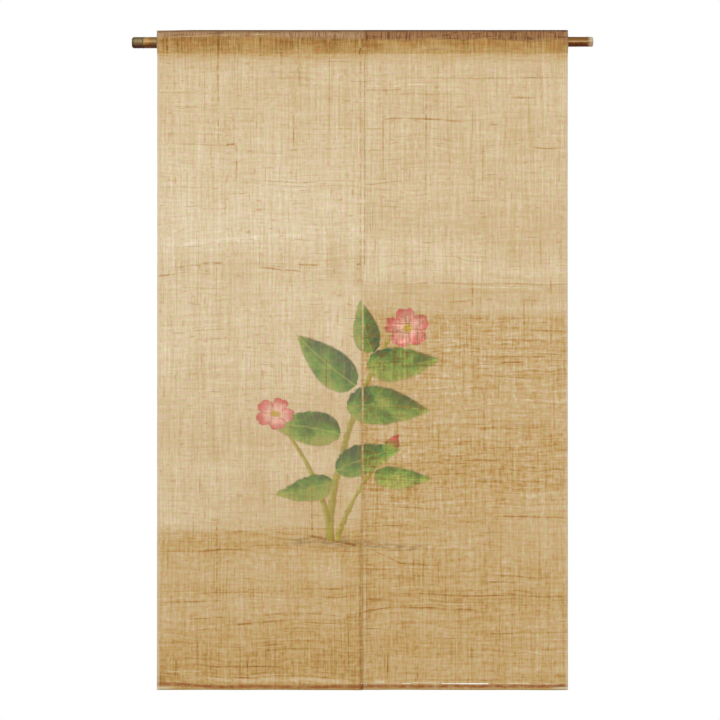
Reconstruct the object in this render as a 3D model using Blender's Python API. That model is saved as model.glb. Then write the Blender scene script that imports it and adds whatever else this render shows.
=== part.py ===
# Noren curtain: two loom widths of hemp cloth on a bamboo rod.
# Metres, +Z up, the decorated face towards -Y. The origin is on the rod's axis at its middle.

import math

import bmesh
import bpy

MM = 0.001

# Cloth: outline seen from the front
HALF_WIDTH = 440.0 * MM
TOP_CREASE_Z = 26.9 * MM
TUNNEL_SEAM_Z = -24.0 * MM
HEM_BOTTOM_Z = -1387.3 * MM
HEM_DEPTH = 11.0 * MM
CLOTH_THICK = 1.2 * MM

# The tunnel seam sags a little towards each outer corner, over this reach
SEAM_SAG_REACH = 26.0 * MM
SEAM_SAG = {"left": 3.6 * MM, "right": 5.4 * MM}
TOP_SAG_REACH = 90.0 * MM
TOP_SAG = {"left": 1.1 * MM, "right": 0.0}

# Middle join: the left panel lies over the right one down to the slit and on below it
LAP_RAMP = 24.0 * MM
LAP_REACH = {"left": -9.0 * MM, "right": 12.0 * MM}
NOTCH_TOP = 0.6 * MM
NOTCH_STEP = 0.6 * MM
TIP_FADE_Z = -10.0 * MM

# Selvedges from top to bottom: height, then each panel's two edges.
# The tunnels meet edge to edge; under them the right panel's edge goes behind the left one.
SELVEDGES = (
    {"z": 26.9, "left_outer": -440.4, "left_inner": 7.4, "right_inner": 7.8, "right_outer": 440.2},
    {"z": -24.0, "left_outer": -440.2, "left_inner": 7.4, "right_inner": 7.8, "right_outer": 440.2},
    {"z": -24.6, "left_outer": -440.2, "left_inner": 7.4, "right_inner": 7.8, "right_outer": 440.2},
    {"z": -25.2, "left_outer": -440.2, "left_inner": 7.4, "right_inner": -4.3, "right_outer": 440.2},
    {"z": -31.0, "left_outer": -439.8, "left_inner": 4.3, "right_inner": -4.3, "right_outer": 439.9},
    {"z": -470.0, "left_outer": -439.8, "left_inner": 4.3, "right_inner": -4.3, "right_outer": 439.6},
    {"z": -520.0, "left_outer": -439.9, "left_inner": -1.8, "right_inner": -4.8, "right_outer": 439.8},
    {"z": -900.0, "left_outer": -440.0, "left_inner": -2.2, "right_inner": -6.0, "right_outer": 440.0},
    {"z": -1387.3, "left_outer": -440.5, "left_inner": -1.4, "right_inner": -6.4, "right_outer": 440.3},
)

# How far the two panels' middle edges stand apart in depth, from top to bottom.
# Where they are sewn, that is one cloth thickness and a hair's gap.
LAP_DEPTHS = (
    {"z": -480.0, "apart": 1.6},
    {"z": -700.0, "apart": 2.9},
    {"z": -1050.0, "apart": 4.4},
    {"z": -1387.3, "apart": 5.2},
)

# Soft upright waves of the hanging cloth, full at WAVE_FULL_DEPTH under the tunnel
WAVES = (
    {"height": 2.3, "length": 430.0, "phase": 0.10, "lean": 0.12},
    {"height": 1.5, "length": 236.0, "phase": 0.62, "lean": -0.22},
    {"height": 0.8, "length": 131.0, "phase": 0.30, "lean": 0.40},
)
WAVE_FULL_DEPTH = 950.0 * MM

# Rod
ROD_HALF_LENGTH = 494.0 * MM
ROD_RADIUS_LEFT = 12.0 * MM
ROD_RADIUS_RIGHT = 10.5 * MM
ROD_END_ROUNDING = 3.0 * MM
ROD_ROUNDING_ANGLES = (0.0, 30.0, 60.0, 90.0)
ROD_SIDES = 24
ROD_PITH_RADIUS = 1.8 * MM
ROD_PITH_DEPTH = 8.0 * MM
ROD_NODES_X = (-469.0, -299.0, -117.0, 75.0, 275.0, 480.0)
NODE_RIDGE = 0.6 * MM
NODE_GROOVE = 0.3 * MM
NODE_GROOVE_OFFSET = -2.4
NODE_OFFSETS = (-5.0, NODE_GROOVE_OFFSET, -1.2, 0.0, 1.2, 4.0)
ROD_CLEARANCE = 0.3 * MM

# Mesh steps
EDGE_STEPS = (0.0, 9.0, 20.0, 36.0)
COLUMN_STEP = 27.0 * MM
ROW_STEP = 58.0 * MM
ARC_STEPS = 4
CREASE_ROUNDING = 1.5 * MM
CREASE_DROP = 0.7 * MM
CREASE_INNER_ROUNDING = 0.45 * MM
CLOTH_SMOOTH_ANGLE = 40.0
ROD_SMOOTH_ANGLE = 35.0


def smooth_step(value):
    """A soft ramp from 0 to 1."""
    value = min(max(value, 0.0), 1.0)
    return value * value * (3.0 - 2.0 * value)


def read_table(rows, column, z):
    """A column's value at height z, in metres, between the rows of a table given in millimetres."""
    if z >= rows[0]["z"] * MM:
        return rows[0][column] * MM
    for upper, lower in zip(rows, rows[1:]):
        if z >= lower["z"] * MM:
            share = (upper["z"] * MM - z) / ((upper["z"] - lower["z"]) * MM)
            return (upper[column] + share * (lower[column] - upper[column])) * MM
    return rows[-1][column] * MM


def rod_radius(x):
    """The bamboo tapers evenly from left to right."""
    share = (x + ROD_HALF_LENGTH) / (2.0 * ROD_HALF_LENGTH)
    return ROD_RADIUS_LEFT + share * (ROD_RADIUS_RIGHT - ROD_RADIUS_LEFT)


def rod_centre_z(x):
    """The rod's top line is level, so its centre line rises as it tapers."""
    return (ROD_RADIUS_LEFT + ROD_RADIUS_RIGHT) / 2.0 - rod_radius(x)


def outer_corner_share(side, x, reach):
    """1 at the panel's outer selvedge, falling softly to 0 at the given reach from it."""
    outer = -HALF_WIDTH if side == "left" else HALF_WIDTH
    return 1.0 - smooth_step(abs(x - outer) / reach)


def seam_z(side, x):
    return TUNNEL_SEAM_Z - SEAM_SAG[side] * outer_corner_share(side, x, SEAM_SAG_REACH)


def crease_z(side, x):
    return TOP_CREASE_Z - TOP_SAG[side] * outer_corner_share(side, x, TOP_SAG_REACH)


def wave(x, z):
    """Depth of the hanging cloth's soft waves, the same for both panels."""
    amount = smooth_step((TUNNEL_SEAM_Z - z) / WAVE_FULL_DEPTH)
    total = 0.0
    for row in WAVES:
        turns = x / (row["length"] * MM) + row["phase"] + row["lean"] * z
        total += row["height"] * MM * math.sin(2.0 * math.pi * turns)
    return amount * total


def lap_shift(side, x, z):
    """The left panel steps forward and the right one back, where they lie on each other."""
    reach = LAP_REACH[side]
    if side == "left":
        share = smooth_step((x - (reach - LAP_RAMP)) / LAP_RAMP)
        sign = -1.0
    else:
        share = smooth_step(((reach + LAP_RAMP) - x) / LAP_RAMP)
        sign = 1.0
    fade = smooth_step((TIP_FADE_Z - z) / (TIP_FADE_Z - TUNNEL_SEAM_Z))
    return sign * share * fade * read_table(LAP_DEPTHS, "apart", z) / 2.0


def column_positions(side):
    """Places across a panel, as shares from its outer selvedge (0) to its inner one (1)."""
    width = HALF_WIDTH
    first = [step * MM / width for step in EDGE_STEPS]
    last = [1.0 - share for share in reversed(first)]
    span = last[0] - first[-1]
    count = round(span * width / COLUMN_STEP)
    middle = [first[-1] + span * i / count for i in range(1, count)]
    return first + middle + last


def place_x(side, share, z):
    outer = read_table(SELVEDGES, side + "_outer", z)
    inner = read_table(SELVEDGES, side + "_inner", z)
    return outer + share * (inner - outer)


def sheet_rows(seam):
    """Heights of the hanging sheet's rows from the hem up to the tunnel seam, with the layers at each."""
    rounding = CLOTH_THICK / 3.0
    rows = [
        {"z": HEM_BOTTOM_Z, "layers": 2, "inset": rounding},
        {"z": HEM_BOTTOM_Z + rounding, "layers": 2, "inset": 0.0},
        {"z": HEM_BOTTOM_Z + HEM_DEPTH, "layers": 2, "inset": 0.0},
        {"z": HEM_BOTTOM_Z + HEM_DEPTH + NOTCH_STEP, "layers": 1, "inset": 0.0},
    ]
    low = rows[-1]["z"]
    high = TUNNEL_SEAM_Z - SEAM_SAG["right"] - 2.0 * CLOTH_THICK
    count = round((high - low) / ROW_STEP)
    for i in range(1, count + 1):
        rows.append({"z": low + (high - low) * i / count, "layers": 1, "inset": 0.0})
    rows.append({"z": seam - NOTCH_TOP - NOTCH_STEP, "layers": 1, "inset": 0.0})
    rows.append({"z": seam - NOTCH_TOP, "layers": 1, "inset": 0.0})
    rows.append({"z": seam, "layers": 2, "inset": 0.0})
    return rows


def half_pocket(x, seam, crease):
    """Inner and outer lines of the tunnel's front wall, as (depth, height) pairs from seam to crease."""
    centre = rod_centre_z(x)
    inner_radius = rod_radius(x) + NODE_RIDGE + ROD_CLEARANCE
    tip = seam + CLOTH_THICK
    top = crease - CLOTH_THICK
    lower = math.asin(inner_radius / (centre - tip))
    upper = math.asin(inner_radius / (top - centre))
    inner = [(0.0, tip)]
    outer = []
    for i in range(ARC_STEPS + 1):
        angle = -lower + (lower + upper) * i / ARC_STEPS
        for line, radius in ((inner, inner_radius), (outer, inner_radius + CLOTH_THICK)):
            line.append((radius * math.cos(angle), centre + radius * math.sin(angle)))
    inner += [(CREASE_INNER_ROUNDING, top - CREASE_DROP), (0.0, top)]
    outer += [(CREASE_ROUNDING, crease - CREASE_DROP), (0.0, crease)]
    return inner, outer


def panel_section(side, share):
    """One upright cut through a panel: front and back of the sheet, then the tunnel's two loops."""
    nominal = place_x(side, share, TUNNEL_SEAM_Z)
    seam = seam_z(side, nominal)
    crease = crease_z(side, nominal)

    def point(depth, z):
        x = place_x(side, share, z)
        return (x, depth + wave(x, z) + lap_shift(side, x, z), z)

    front, back = [], []
    for row in sheet_rows(seam):
        extra = CLOTH_THICK * (row["layers"] - 1)
        front.append(point(-CLOTH_THICK + row["inset"], row["z"]))
        back.append(point(extra - row["inset"], row["z"]))
    inner_half, outer_half = half_pocket(nominal, seam, crease)
    inner = [point(-depth, z) for depth, z in inner_half]
    inner += [point(depth, z) for depth, z in reversed(inner_half[1:-1])]
    outer = [point(-depth, z) for depth, z in outer_half]
    outer += [point(depth, z) for depth, z in reversed(outer_half[:-1])]
    return front, back, inner, outer


def add_points(mesh, points):
    return [mesh.verts.new(point) for point in points]


def panel_column(mesh, side, share):
    """Mesh points of one section: sheet rows, and the tunnel's loops from its seam round and back."""
    front, back, inner, outer = (add_points(mesh, line) for line in panel_section(side, share))
    return {
        "front": front,
        "back": back,
        "outer": [front[-1]] + outer + [back[-1]],
        "inner": inner + [inner[0]],
    }


def bridge(mesh, here, there):
    """Faces between the same line of two neighbouring sections."""
    for i in range(len(here) - 1):
        mesh.faces.new((here[i], here[i + 1], there[i + 1], there[i]))


def close_end(mesh, column):
    """The cut edge of the cloth at a selvedge."""
    front, back = column["front"], column["back"]
    outer, inner = column["outer"], column["inner"]
    for i in range(len(front) - 1):
        mesh.faces.new((front[i], front[i + 1], back[i + 1], back[i]))
    for i in range(len(outer) - 1):
        mesh.faces.new((outer[i], outer[i + 1], inner[i + 1], inner[i]))
    mesh.faces.new((outer[0], inner[0], outer[-1]))


def build_panel(name, side, material):
    """One loom width of cloth, with its rod tunnel and its turned hem."""
    mesh = bmesh.new()
    columns = [panel_column(mesh, side, share) for share in column_positions(side)]
    for here, there in zip(columns, columns[1:]):
        for line in ("front", "back", "outer", "inner"):
            bridge(mesh, here[line], there[line])
        bridge(mesh, [here["front"][0], here["back"][0]], [there["front"][0], there["back"][0]])
    close_end(mesh, columns[0])
    close_end(mesh, columns[-1])
    bmesh.ops.recalc_face_normals(mesh, faces=mesh.faces)
    return finish_object(mesh, name, material, CLOTH_SMOOTH_ANGLE)


def rod_stations():
    """Cuts along the rod: place, radius. The ends are rounded, and each node is a ridge and a groove."""
    stations = []
    for angle in ROD_ROUNDING_ANGLES:
        turn = math.radians(angle)
        x = -ROD_HALF_LENGTH + ROD_END_ROUNDING * (1.0 - math.cos(turn))
        stations.append((x, rod_radius(x) - ROD_END_ROUNDING * (1.0 - math.sin(turn))))
    for node in ROD_NODES_X:
        for offset in NODE_OFFSETS:
            x = (node + offset) * MM
            ridge = NODE_RIDGE if offset == 0.0 else 0.0
            groove = NODE_GROOVE if offset == NODE_GROOVE_OFFSET else 0.0
            stations.append((x, rod_radius(x) + ridge - groove))
    for angle in reversed(ROD_ROUNDING_ANGLES):
        turn = math.radians(angle)
        x = ROD_HALF_LENGTH - ROD_END_ROUNDING * (1.0 - math.cos(turn))
        stations.append((x, rod_radius(x) - ROD_END_ROUNDING * (1.0 - math.sin(turn))))
    return stations


def rod_ring(mesh, x, centre_x, radius):
    points = []
    for i in range(ROD_SIDES):
        turn = 2.0 * math.pi * i / ROD_SIDES
        points.append((x, radius * math.sin(turn), rod_centre_z(centre_x) + radius * math.cos(turn)))
    return add_points(mesh, points)


def bridge_rings(mesh, here, there):
    for i in range(ROD_SIDES):
        j = (i + 1) % ROD_SIDES
        mesh.faces.new((here[i], here[j], there[j], there[i]))


def build_rod(name, material):
    """A bamboo pole with its nodes and a small pith hole in each cut end."""
    mesh = bmesh.new()
    rings = [rod_ring(mesh, x, x, radius) for x, radius in rod_stations()]
    for here, there in zip(rings, rings[1:]):
        bridge_rings(mesh, here, there)
    for end_ring, end_x, inward in ((rings[0], -ROD_HALF_LENGTH, 1.0), (rings[-1], ROD_HALF_LENGTH, -1.0)):
        mouth = rod_ring(mesh, end_x, end_x, ROD_PITH_RADIUS)
        floor = rod_ring(mesh, end_x + inward * ROD_PITH_DEPTH, end_x, ROD_PITH_RADIUS)
        bridge_rings(mesh, end_ring, mouth)
        bridge_rings(mesh, mouth, floor)
        mesh.faces.new(floor)
    bmesh.ops.recalc_face_normals(mesh, faces=mesh.faces)
    return finish_object(mesh, name, material, ROD_SMOOTH_ANGLE)


def finish_object(mesh, name, material, smooth_angle):
    data = bpy.data.meshes.new(name)
    mesh.to_mesh(data)
    mesh.free()
    data.materials.append(material)
    data.shade_smooth()
    data.set_sharp_from_angle(angle=math.radians(smooth_angle))
    built = bpy.data.objects.new(name, data)
    bpy.context.collection.objects.link(built)
    return built


def make_material(name, colour, roughness):
    material = bpy.data.materials.new(name)
    material.use_nodes = True
    shader = material.node_tree.nodes["Principled BSDF"]
    shader.inputs["Base Color"].default_value = (*colour, 1.0)
    shader.inputs["Roughness"].default_value = roughness
    shader.inputs["Metallic"].default_value = 0.0
    return material


def clear_scene():
    for old in list(bpy.data.objects):
        bpy.data.objects.remove(old, do_unlink=True)


def main():
    clear_scene()
    hemp = make_material("hemp_cloth", (0.62, 0.48, 0.29), 0.9)
    bamboo = make_material("spotted_bamboo", (0.16, 0.09, 0.04), 0.4)
    build_rod("rod", bamboo)
    build_panel("panel_left", "left", hemp)
    build_panel("panel_right", "right", hemp)


main()
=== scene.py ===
# Noren curtain: the looks of its hemp cloth, dyes, painted spray, sewing and bamboo rod.
# Metres, +Z up, the decorated face towards -Y. Heights on the cloth are counted up from the hem.

import math
import random

import bmesh
import bpy
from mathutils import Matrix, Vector, noise


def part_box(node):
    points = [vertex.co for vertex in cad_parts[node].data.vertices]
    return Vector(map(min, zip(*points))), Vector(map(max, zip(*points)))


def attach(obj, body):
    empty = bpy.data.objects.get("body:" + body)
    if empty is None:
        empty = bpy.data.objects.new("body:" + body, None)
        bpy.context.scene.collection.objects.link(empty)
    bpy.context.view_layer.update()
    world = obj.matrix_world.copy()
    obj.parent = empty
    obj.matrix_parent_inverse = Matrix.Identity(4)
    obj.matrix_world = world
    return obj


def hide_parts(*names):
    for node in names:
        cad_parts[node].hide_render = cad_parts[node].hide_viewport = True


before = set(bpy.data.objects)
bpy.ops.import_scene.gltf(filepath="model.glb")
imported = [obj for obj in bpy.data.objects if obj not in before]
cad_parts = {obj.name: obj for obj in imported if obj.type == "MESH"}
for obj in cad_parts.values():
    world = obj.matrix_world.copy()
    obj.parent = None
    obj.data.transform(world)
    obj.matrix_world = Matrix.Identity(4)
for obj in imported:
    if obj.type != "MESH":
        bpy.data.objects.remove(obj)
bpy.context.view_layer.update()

MM = 0.001
UP = Vector((0.0, 0.0, 1.0))
FORWARD = Vector((0.0, -1.0, 0.0))
BACKWARD = Vector((0.0, 1.0, 0.0))

# Photograph's framing
FRAME_WIDTH = 1543.0 * MM
PICTURE_SHIFT_X = -5.35 * MM
WORLD_DIFFUSE = 0.84
WORLD_GLOSSY = 0.06
LENS_MM = 135.0
SENSOR_MM = 36.0

# Cloth: outline and layers
HALF_WIDTH = 440.0 * MM
TOP_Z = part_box("panel_left")[1].z
HEM_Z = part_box("panel_left")[0].z
DROP = TOP_Z - HEM_Z
SEAM_Z = -24.0 * MM
SOLID_THICK = 1.2 * MM
CLOTH_THICK = 0.8 * MM
# The front face lies just inside the solid's
FACE_DEPTH = -SOLID_THICK + 0.1 * MM
HEM_DEPTH = 11.0 * MM
# The hem's reddish line: height in the middle of the curtain, rise towards the outer end, half thickness
HEM_RED = {"left": (7.2, 5.6, 5.6), "right": (8.3, 0.3, 5.6)}
SEAM_HEIGHT = SEAM_Z - HEM_Z

# The tunnel seam and the top crease sag a little towards the outer corners
SEAM_SAG_REACH = 26.0 * MM
SEAM_SAG = {"left": 3.6 * MM, "right": 5.4 * MM}
TOP_SAG_REACH = 90.0 * MM
TOP_SAG = {"left": 1.1 * MM, "right": 0.0}

# Selvedges from top to bottom, in millimetres
SELVEDGES = (
    {"z": 26.9, "left_outer": -440.4, "left_inner": 7.6, "right_inner": 7.6, "right_outer": 440.2},
    {"z": -24.6, "left_outer": -440.2, "left_inner": 7.6, "right_inner": 7.6, "right_outer": 440.2},
    {"z": -25.2, "left_outer": -440.2, "left_inner": 7.4, "right_inner": -4.3, "right_outer": 440.2},
    {"z": -31.0, "left_outer": -439.8, "left_inner": 4.3, "right_inner": -4.3, "right_outer": 439.9},
    {"z": -470.0, "left_outer": -439.8, "left_inner": 4.3, "right_inner": -4.3, "right_outer": 439.6},
    {"z": -520.0, "left_outer": -439.9, "left_inner": -1.8, "right_inner": -4.8, "right_outer": 439.8},
    {"z": -900.0, "left_outer": -440.0, "left_inner": -2.2, "right_inner": -6.0, "right_outer": 440.0},
    {"z": -1387.3, "left_outer": -440.5, "left_inner": -1.4, "right_inner": -6.4, "right_outer": 440.3},
)
TUNNEL_BUTT_X = 7.6 * MM
SLIT_HEIGHT = 910.0 * MM
# Sewn lines of the join: place, half thickness in millimetres, darkness
JOIN_LINES = ((-4.3, 2.8, 0.55), (4.3, 2.2, 0.42))
# Lines along the slit's free edges: painted shade along the left panel's edge, and lines on the right
# panel
LEFT_EDGE_SHADE_X = -4.6 * MM
RIGHT_EDGE_X = 4.4 * MM
RIGHT_SECOND_X = 9.4 * MM
SELVEDGE_WANDER = 0.25 * MM
SELVEDGE_WANDER_LENGTH = 38.0 * MM
SELVEDGE_WANDER_SEED = {"left": 3.7, "right": 8.1}

# How far the panels' middle edges stand apart in depth, in millimetres
LAP_DEPTHS = (
    {"z": -480.0, "apart": 1.6},
    {"z": -700.0, "apart": 2.9},
    {"z": -1050.0, "apart": 4.4},
    {"z": -1387.3, "apart": 5.2},
)
LAP_RAMP = 24.0 * MM
LAP_REACH = {"left": -9.0 * MM, "right": 12.0 * MM}
TIP_FADE_Z = -10.0 * MM

# Soft upright waves of the hanging cloth, in millimetres
WAVES = (
    {"height": 2.3, "length": 430.0, "phase": 0.10, "lean": 0.12},
    {"height": 1.5, "length": 236.0, "phase": 0.62, "lean": -0.22},
    {"height": 0.8, "length": 131.0, "phase": 0.30, "lean": 0.40},
)
WAVE_FULL_DEPTH = 950.0 * MM
CRINKLES = (
    {"height": 0.30, "across": 46.0, "down": 90.0},
    {"height": 0.12, "across": 17.0, "down": 30.0},
)
CRINKLE_START = 40.0 * MM
PUCKER_HEIGHT = 0.16 * MM
PUCKER_LENGTH = 17.0 * MM
PUCKER_REACH = 7.0 * MM

# Gaps pulled open between weft yarns above the right hem: from, to, height, in millimetres
OPEN_WEFTS = (
    {"low": 88.0, "high": 106.0, "tall": 1.1},
    {"low": 174.0, "high": 206.0, "tall": 1.3},
    {"low": 206.0, "high": 266.0, "tall": 2.0},
)
OPEN_WEFT_HEIGHT = 13.6 * MM

# Rod
ROD_HALF_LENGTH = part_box("rod")[1].x
ROD_RADIUS_LEFT = 12.0 * MM
ROD_RADIUS_RIGHT = 10.5 * MM
ROD_LIFT_LEFT = 0.5 * MM
ROD_LIFT_RIGHT = 1.0 * MM
ROD_END_ROUNDING = {"left": 5.2 * MM, "right": 3.0 * MM}
ROD_END_ANGLES = (0.0, 15.0, 30.0, 45.0, 60.0, 75.0, 90.0)
ROD_SIDES = 64
ROD_STEP = 9.0 * MM
ROD_NODES_X = (-469.0, -299.0, -117.0, 75.0, 275.0, 480.0)
NODE_OFFSETS = (-6.0, -4.2, -3.2, -2.6, -2.0, -1.4, -0.9, -0.4, 0.0, 0.4, 0.9, 1.5, 2.4, 4.0, 6.0)
NODE_RIDGE = 0.55 * MM
NODE_GROOVE = 0.30 * MM
PITH_RADIUS = 1.8 * MM
PITH_DEPTH = 8.0 * MM
ROD_CLEARANCE = 0.3 * MM

# Mesh steps
HEM_ROLL_ANGLES = (0.0, 30.0, 60.0, 90.0)
COLUMN_STEP = 6.0 * MM
ROW_STEP = 6.0 * MM
ARC_STEPS = 14
WALL_STEPS = 5
YARN_SIDES = 6

# Edges sharper than this, in degrees, aren't smoothed
CLOTH_SHARP = 50.0
ROD_SHARP = 32.0

# Materials of the rod's faces, and the cloth's flat map
CUT_SLOT = 1
CLOTH_MAP = "cloth_metres"


# Small numbers

def smooth_step(value):
    value = min(max(value, 0.0), 1.0)
    return value * value * (3.0 - 2.0 * value)


def read_table(rows, column, z):
    """A column's value at height z, in metres, between rows given in millimetres."""
    if z >= rows[0]["z"] * MM:
        return rows[0][column] * MM
    for upper, lower in zip(rows, rows[1:]):
        if z >= lower["z"] * MM:
            share = (upper["z"] * MM - z) / ((upper["z"] - lower["z"]) * MM)
            return (upper[column] + share * (lower[column] - upper[column])) * MM
    return rows[-1][column] * MM


def from_srgb(red, green, blue):
    """A colour given as 0 to 255 numbers, for a shader."""
    out = []
    for part in (red, green, blue):
        part /= 255.0
        out.append(part / 12.92 if part <= 0.04045 else ((part + 0.055) / 1.055) ** 2.4)
    return (*out, 1.0)


# Form of the hanging cloth

def rod_radius(x):
    share = (x + ROD_HALF_LENGTH) / (2.0 * ROD_HALF_LENGTH)
    return ROD_RADIUS_LEFT + share * (ROD_RADIUS_RIGHT - ROD_RADIUS_LEFT)


def rod_centre_z(x):
    """The rod's top line rises a little to the right, and its centre line rises more as it tapers."""
    share = (x + ROD_HALF_LENGTH) / (2.0 * ROD_HALF_LENGTH)
    level = (ROD_RADIUS_LEFT + ROD_RADIUS_RIGHT) / 2.0 - rod_radius(x)
    return level + ROD_LIFT_LEFT + share * (ROD_LIFT_RIGHT - ROD_LIFT_LEFT)


def outer_corner_share(side, x, reach):
    outer = -HALF_WIDTH if side == "left" else HALF_WIDTH
    return 1.0 - smooth_step(abs(x - outer) / reach)


def seam_z(side, x):
    return SEAM_Z - SEAM_SAG[side] * outer_corner_share(side, x, SEAM_SAG_REACH)


def crease_z(side, x):
    return TOP_Z - TOP_SAG[side] * outer_corner_share(side, x, TOP_SAG_REACH)


def wave(x, z):
    """Depth of the hanging cloth's soft waves and small crinkles, the same for both panels."""
    amount = smooth_step((SEAM_Z - z) / WAVE_FULL_DEPTH)
    total = 0.0
    for row in WAVES:
        turns = x / (row["length"] * MM) + row["phase"] + row["lean"] * z
        total += row["height"] * MM * math.sin(2.0 * math.pi * turns)
    total *= amount
    near = smooth_step((SEAM_Z - z) / CRINKLE_START)
    for row in CRINKLES:
        place = Vector((x / (row["across"] * MM), z / (row["down"] * MM), row["height"]))
        total += near * row["height"] * MM * noise.noise(place)
    return total


def pucker(x, z, line_z):
    """Small puckers that sewing draws into the cloth along a line."""
    fade = math.exp(-(((z - line_z) / PUCKER_REACH) ** 2))
    return PUCKER_HEIGHT * fade * noise.noise(Vector((x / PUCKER_LENGTH * 2.0, line_z * 10.0, 0.5)))


def lap_shift(side, x, z):
    """The left panel steps forward and the right one back, where they lie on each other."""
    reach = LAP_REACH[side]
    if side == "left":
        share = smooth_step((x - (reach - LAP_RAMP)) / LAP_RAMP)
        sign = -1.0
    else:
        share = smooth_step(((reach + LAP_RAMP) - x) / LAP_RAMP)
        sign = 1.0
    fade = smooth_step((TIP_FADE_Z - z) / (TIP_FADE_Z - SEAM_Z))
    return sign * share * fade * read_table(LAP_DEPTHS, "apart", z) / 2.0


def place_x(side, share, z):
    outer = read_table(SELVEDGES, side + "_outer", z)
    inner = read_table(SELVEDGES, side + "_inner", z)
    seed = SELVEDGE_WANDER_SEED[side]
    wander = SELVEDGE_WANDER * noise.noise(Vector((seed, z / SELVEDGE_WANDER_LENGTH, 0.0)))
    edge = 1.0 - smooth_step(share / 0.04)
    return outer + share * (inner - outer) + wander * edge


def column_shares():
    """Places across a panel, as shares from its outer selvedge to its inner one."""
    count = round(HALF_WIDTH / COLUMN_STEP)
    return [i / count for i in range(count + 1)]


def open_weft_rows(side):
    """Heights that bound the open wefts above the right hem."""
    if side == "left":
        return []
    heights = []
    for row in OPEN_WEFTS:
        half = row["tall"] * MM / 2.0
        heights += [HEM_Z + OPEN_WEFT_HEIGHT - half, HEM_Z + OPEN_WEFT_HEIGHT + half]
    return heights


def sheet_rows(side, seam):
    """Heights and layers of the sheet's rows: the rolled hem, the single cloth, the tunnel seam."""
    half = CLOTH_THICK
    rows = []
    for angle in HEM_ROLL_ANGLES:
        turn = math.radians(angle)
        inset = half * (1.0 - math.sin(turn))
        rows.append({"z": HEM_Z + half * (1.0 - math.cos(turn)), "layers": 2, "inset": inset})
    for share in (0.3, 0.55, 0.8, 1.0):
        rows.append({"z": HEM_Z + half + share * (HEM_DEPTH - half), "layers": 2, "inset": 0.0})
    rows.append({"z": HEM_Z + HEM_DEPTH + 0.3 * MM, "layers": 1, "inset": 0.0})
    low = HEM_Z + 17.0 * MM
    high = SEAM_Z - max(SEAM_SAG.values()) - 3.0 * MM
    for z in sorted(open_weft_rows(side)):
        rows.append({"z": z, "layers": 1, "inset": 0.0})
    count = round((high - low) / ROW_STEP)
    for i in range(count + 1):
        rows.append({"z": low + (high - low) * i / count, "layers": 1, "inset": 0.0})
    for below in (2.4, 1.2, 0.6):
        rows.append({"z": seam - below * MM, "layers": 1, "inset": 0.0})
    rows.append({"z": seam - 0.25 * MM, "layers": 2, "inset": 0.0})
    return rows


def half_pocket(x, seam, crease):
    """Inner and outer lines of the tunnel's front wall, as (depth, height) pairs from seam to crease."""
    centre = rod_centre_z(x)
    inner_radius = rod_radius(x) + 0.6 * MM + ROD_CLEARANCE
    outer_radius = inner_radius + CLOTH_THICK
    tip = seam + CLOTH_THICK
    top = crease - CLOTH_THICK
    lower = math.asin(inner_radius / (centre - tip))
    upper = math.asin(inner_radius / (top - centre))
    inner = []
    outer = []
    for i in range(ARC_STEPS + 1):
        angle = -lower + (lower + upper) * i / ARC_STEPS
        for line, radius in ((inner, inner_radius), (outer, outer_radius)):
            line.append((radius * math.cos(angle), centre + radius * math.sin(angle)))
    inner = wall((0.0, tip), inner[0])[:-1] + inner
    outer = wall((CLOTH_THICK, seam), outer[0])[1:-1] + outer
    inner = inner[:-1] + wall(inner[-1], (0.2 * MM, top))
    outer = outer[:-1] + wall(outer[-1], (0.9 * MM, crease - 0.4 * MM))
    inner += [(0.1 * MM, top + 0.05 * MM), (0.0, top + 0.1 * MM)]
    outer += [(0.45 * MM, crease - 0.1 * MM), (0.0, crease)]
    return inner, outer


def wall(start, end):
    """Even points from start to end, both kept."""
    return [
        tuple(a + (b - a) * i / WALL_STEPS for a, b in zip(start, end))
        for i in range(WALL_STEPS + 1)
    ]


def panel_section(side, share):
    """One upright cut through a panel: sheet front and back, tunnel outside and inside."""
    nominal = place_x(side, share, SEAM_Z)
    seam = seam_z(side, nominal)
    crease = crease_z(side, nominal)
    hem_line = HEM_Z + HEM_DEPTH

    def point(depth, z):
        x = place_x(side, share, z)
        sewn = pucker(x, z, hem_line) + pucker(x, z, seam)
        return (x, depth + wave(x, z) + lap_shift(side, x, z) + sewn, z)

    front, back = [], []
    for row in sheet_rows(side, seam):
        behind = FACE_DEPTH + CLOTH_THICK * row["layers"]
        front.append(point(FACE_DEPTH + row["inset"], row["z"]))
        back.append(point(behind - row["inset"], row["z"]))
    inner_half, outer_half = half_pocket(nominal, seam, crease)
    inner = [point(-depth, z) for depth, z in inner_half]
    inner += [point(depth, z) for depth, z in reversed(inner_half[1:-1])]
    outer = [point(-depth, z) for depth, z in outer_half]
    outer += [point(depth, z) for depth, z in reversed(outer_half[:-1])]
    return {
        "front": front,
        "back": back,
        "outer": [front[-1]] + outer + [back[-1]],
        "inner": inner + [inner[0]],
    }


def cloth_heights(section):
    """Height on the flat cloth of each point of a section: on over the top crease and down behind."""
    heights = {
        "front": [p[2] - HEM_Z for p in section["front"]],
        "back": [p[2] - HEM_Z for p in section["back"]],
    }
    for line in ("outer", "inner"):
        points = section[line]
        middle = max(range(len(points)), key=lambda i: points[i][2])
        heights[line] = [
            (p[2] - HEM_Z) if i <= middle else (2.0 * DROP - (p[2] - HEM_Z))
            for i, p in enumerate(points)
        ]
    return heights


def is_open(side, x, z):
    """Whether the cloth is pulled open between its wefts here."""
    if side == "left":
        return False
    for row in OPEN_WEFTS:
        inside = row["low"] * MM < x < row["high"] * MM
        if inside and abs(z - HEM_Z - OPEN_WEFT_HEIGHT) < row["tall"] * MM / 2.0:
            return True
    return False


def place_object(name, data):
    built = bpy.data.objects.new(name, data)
    bpy.context.scene.collection.objects.link(built)
    return built


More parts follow.
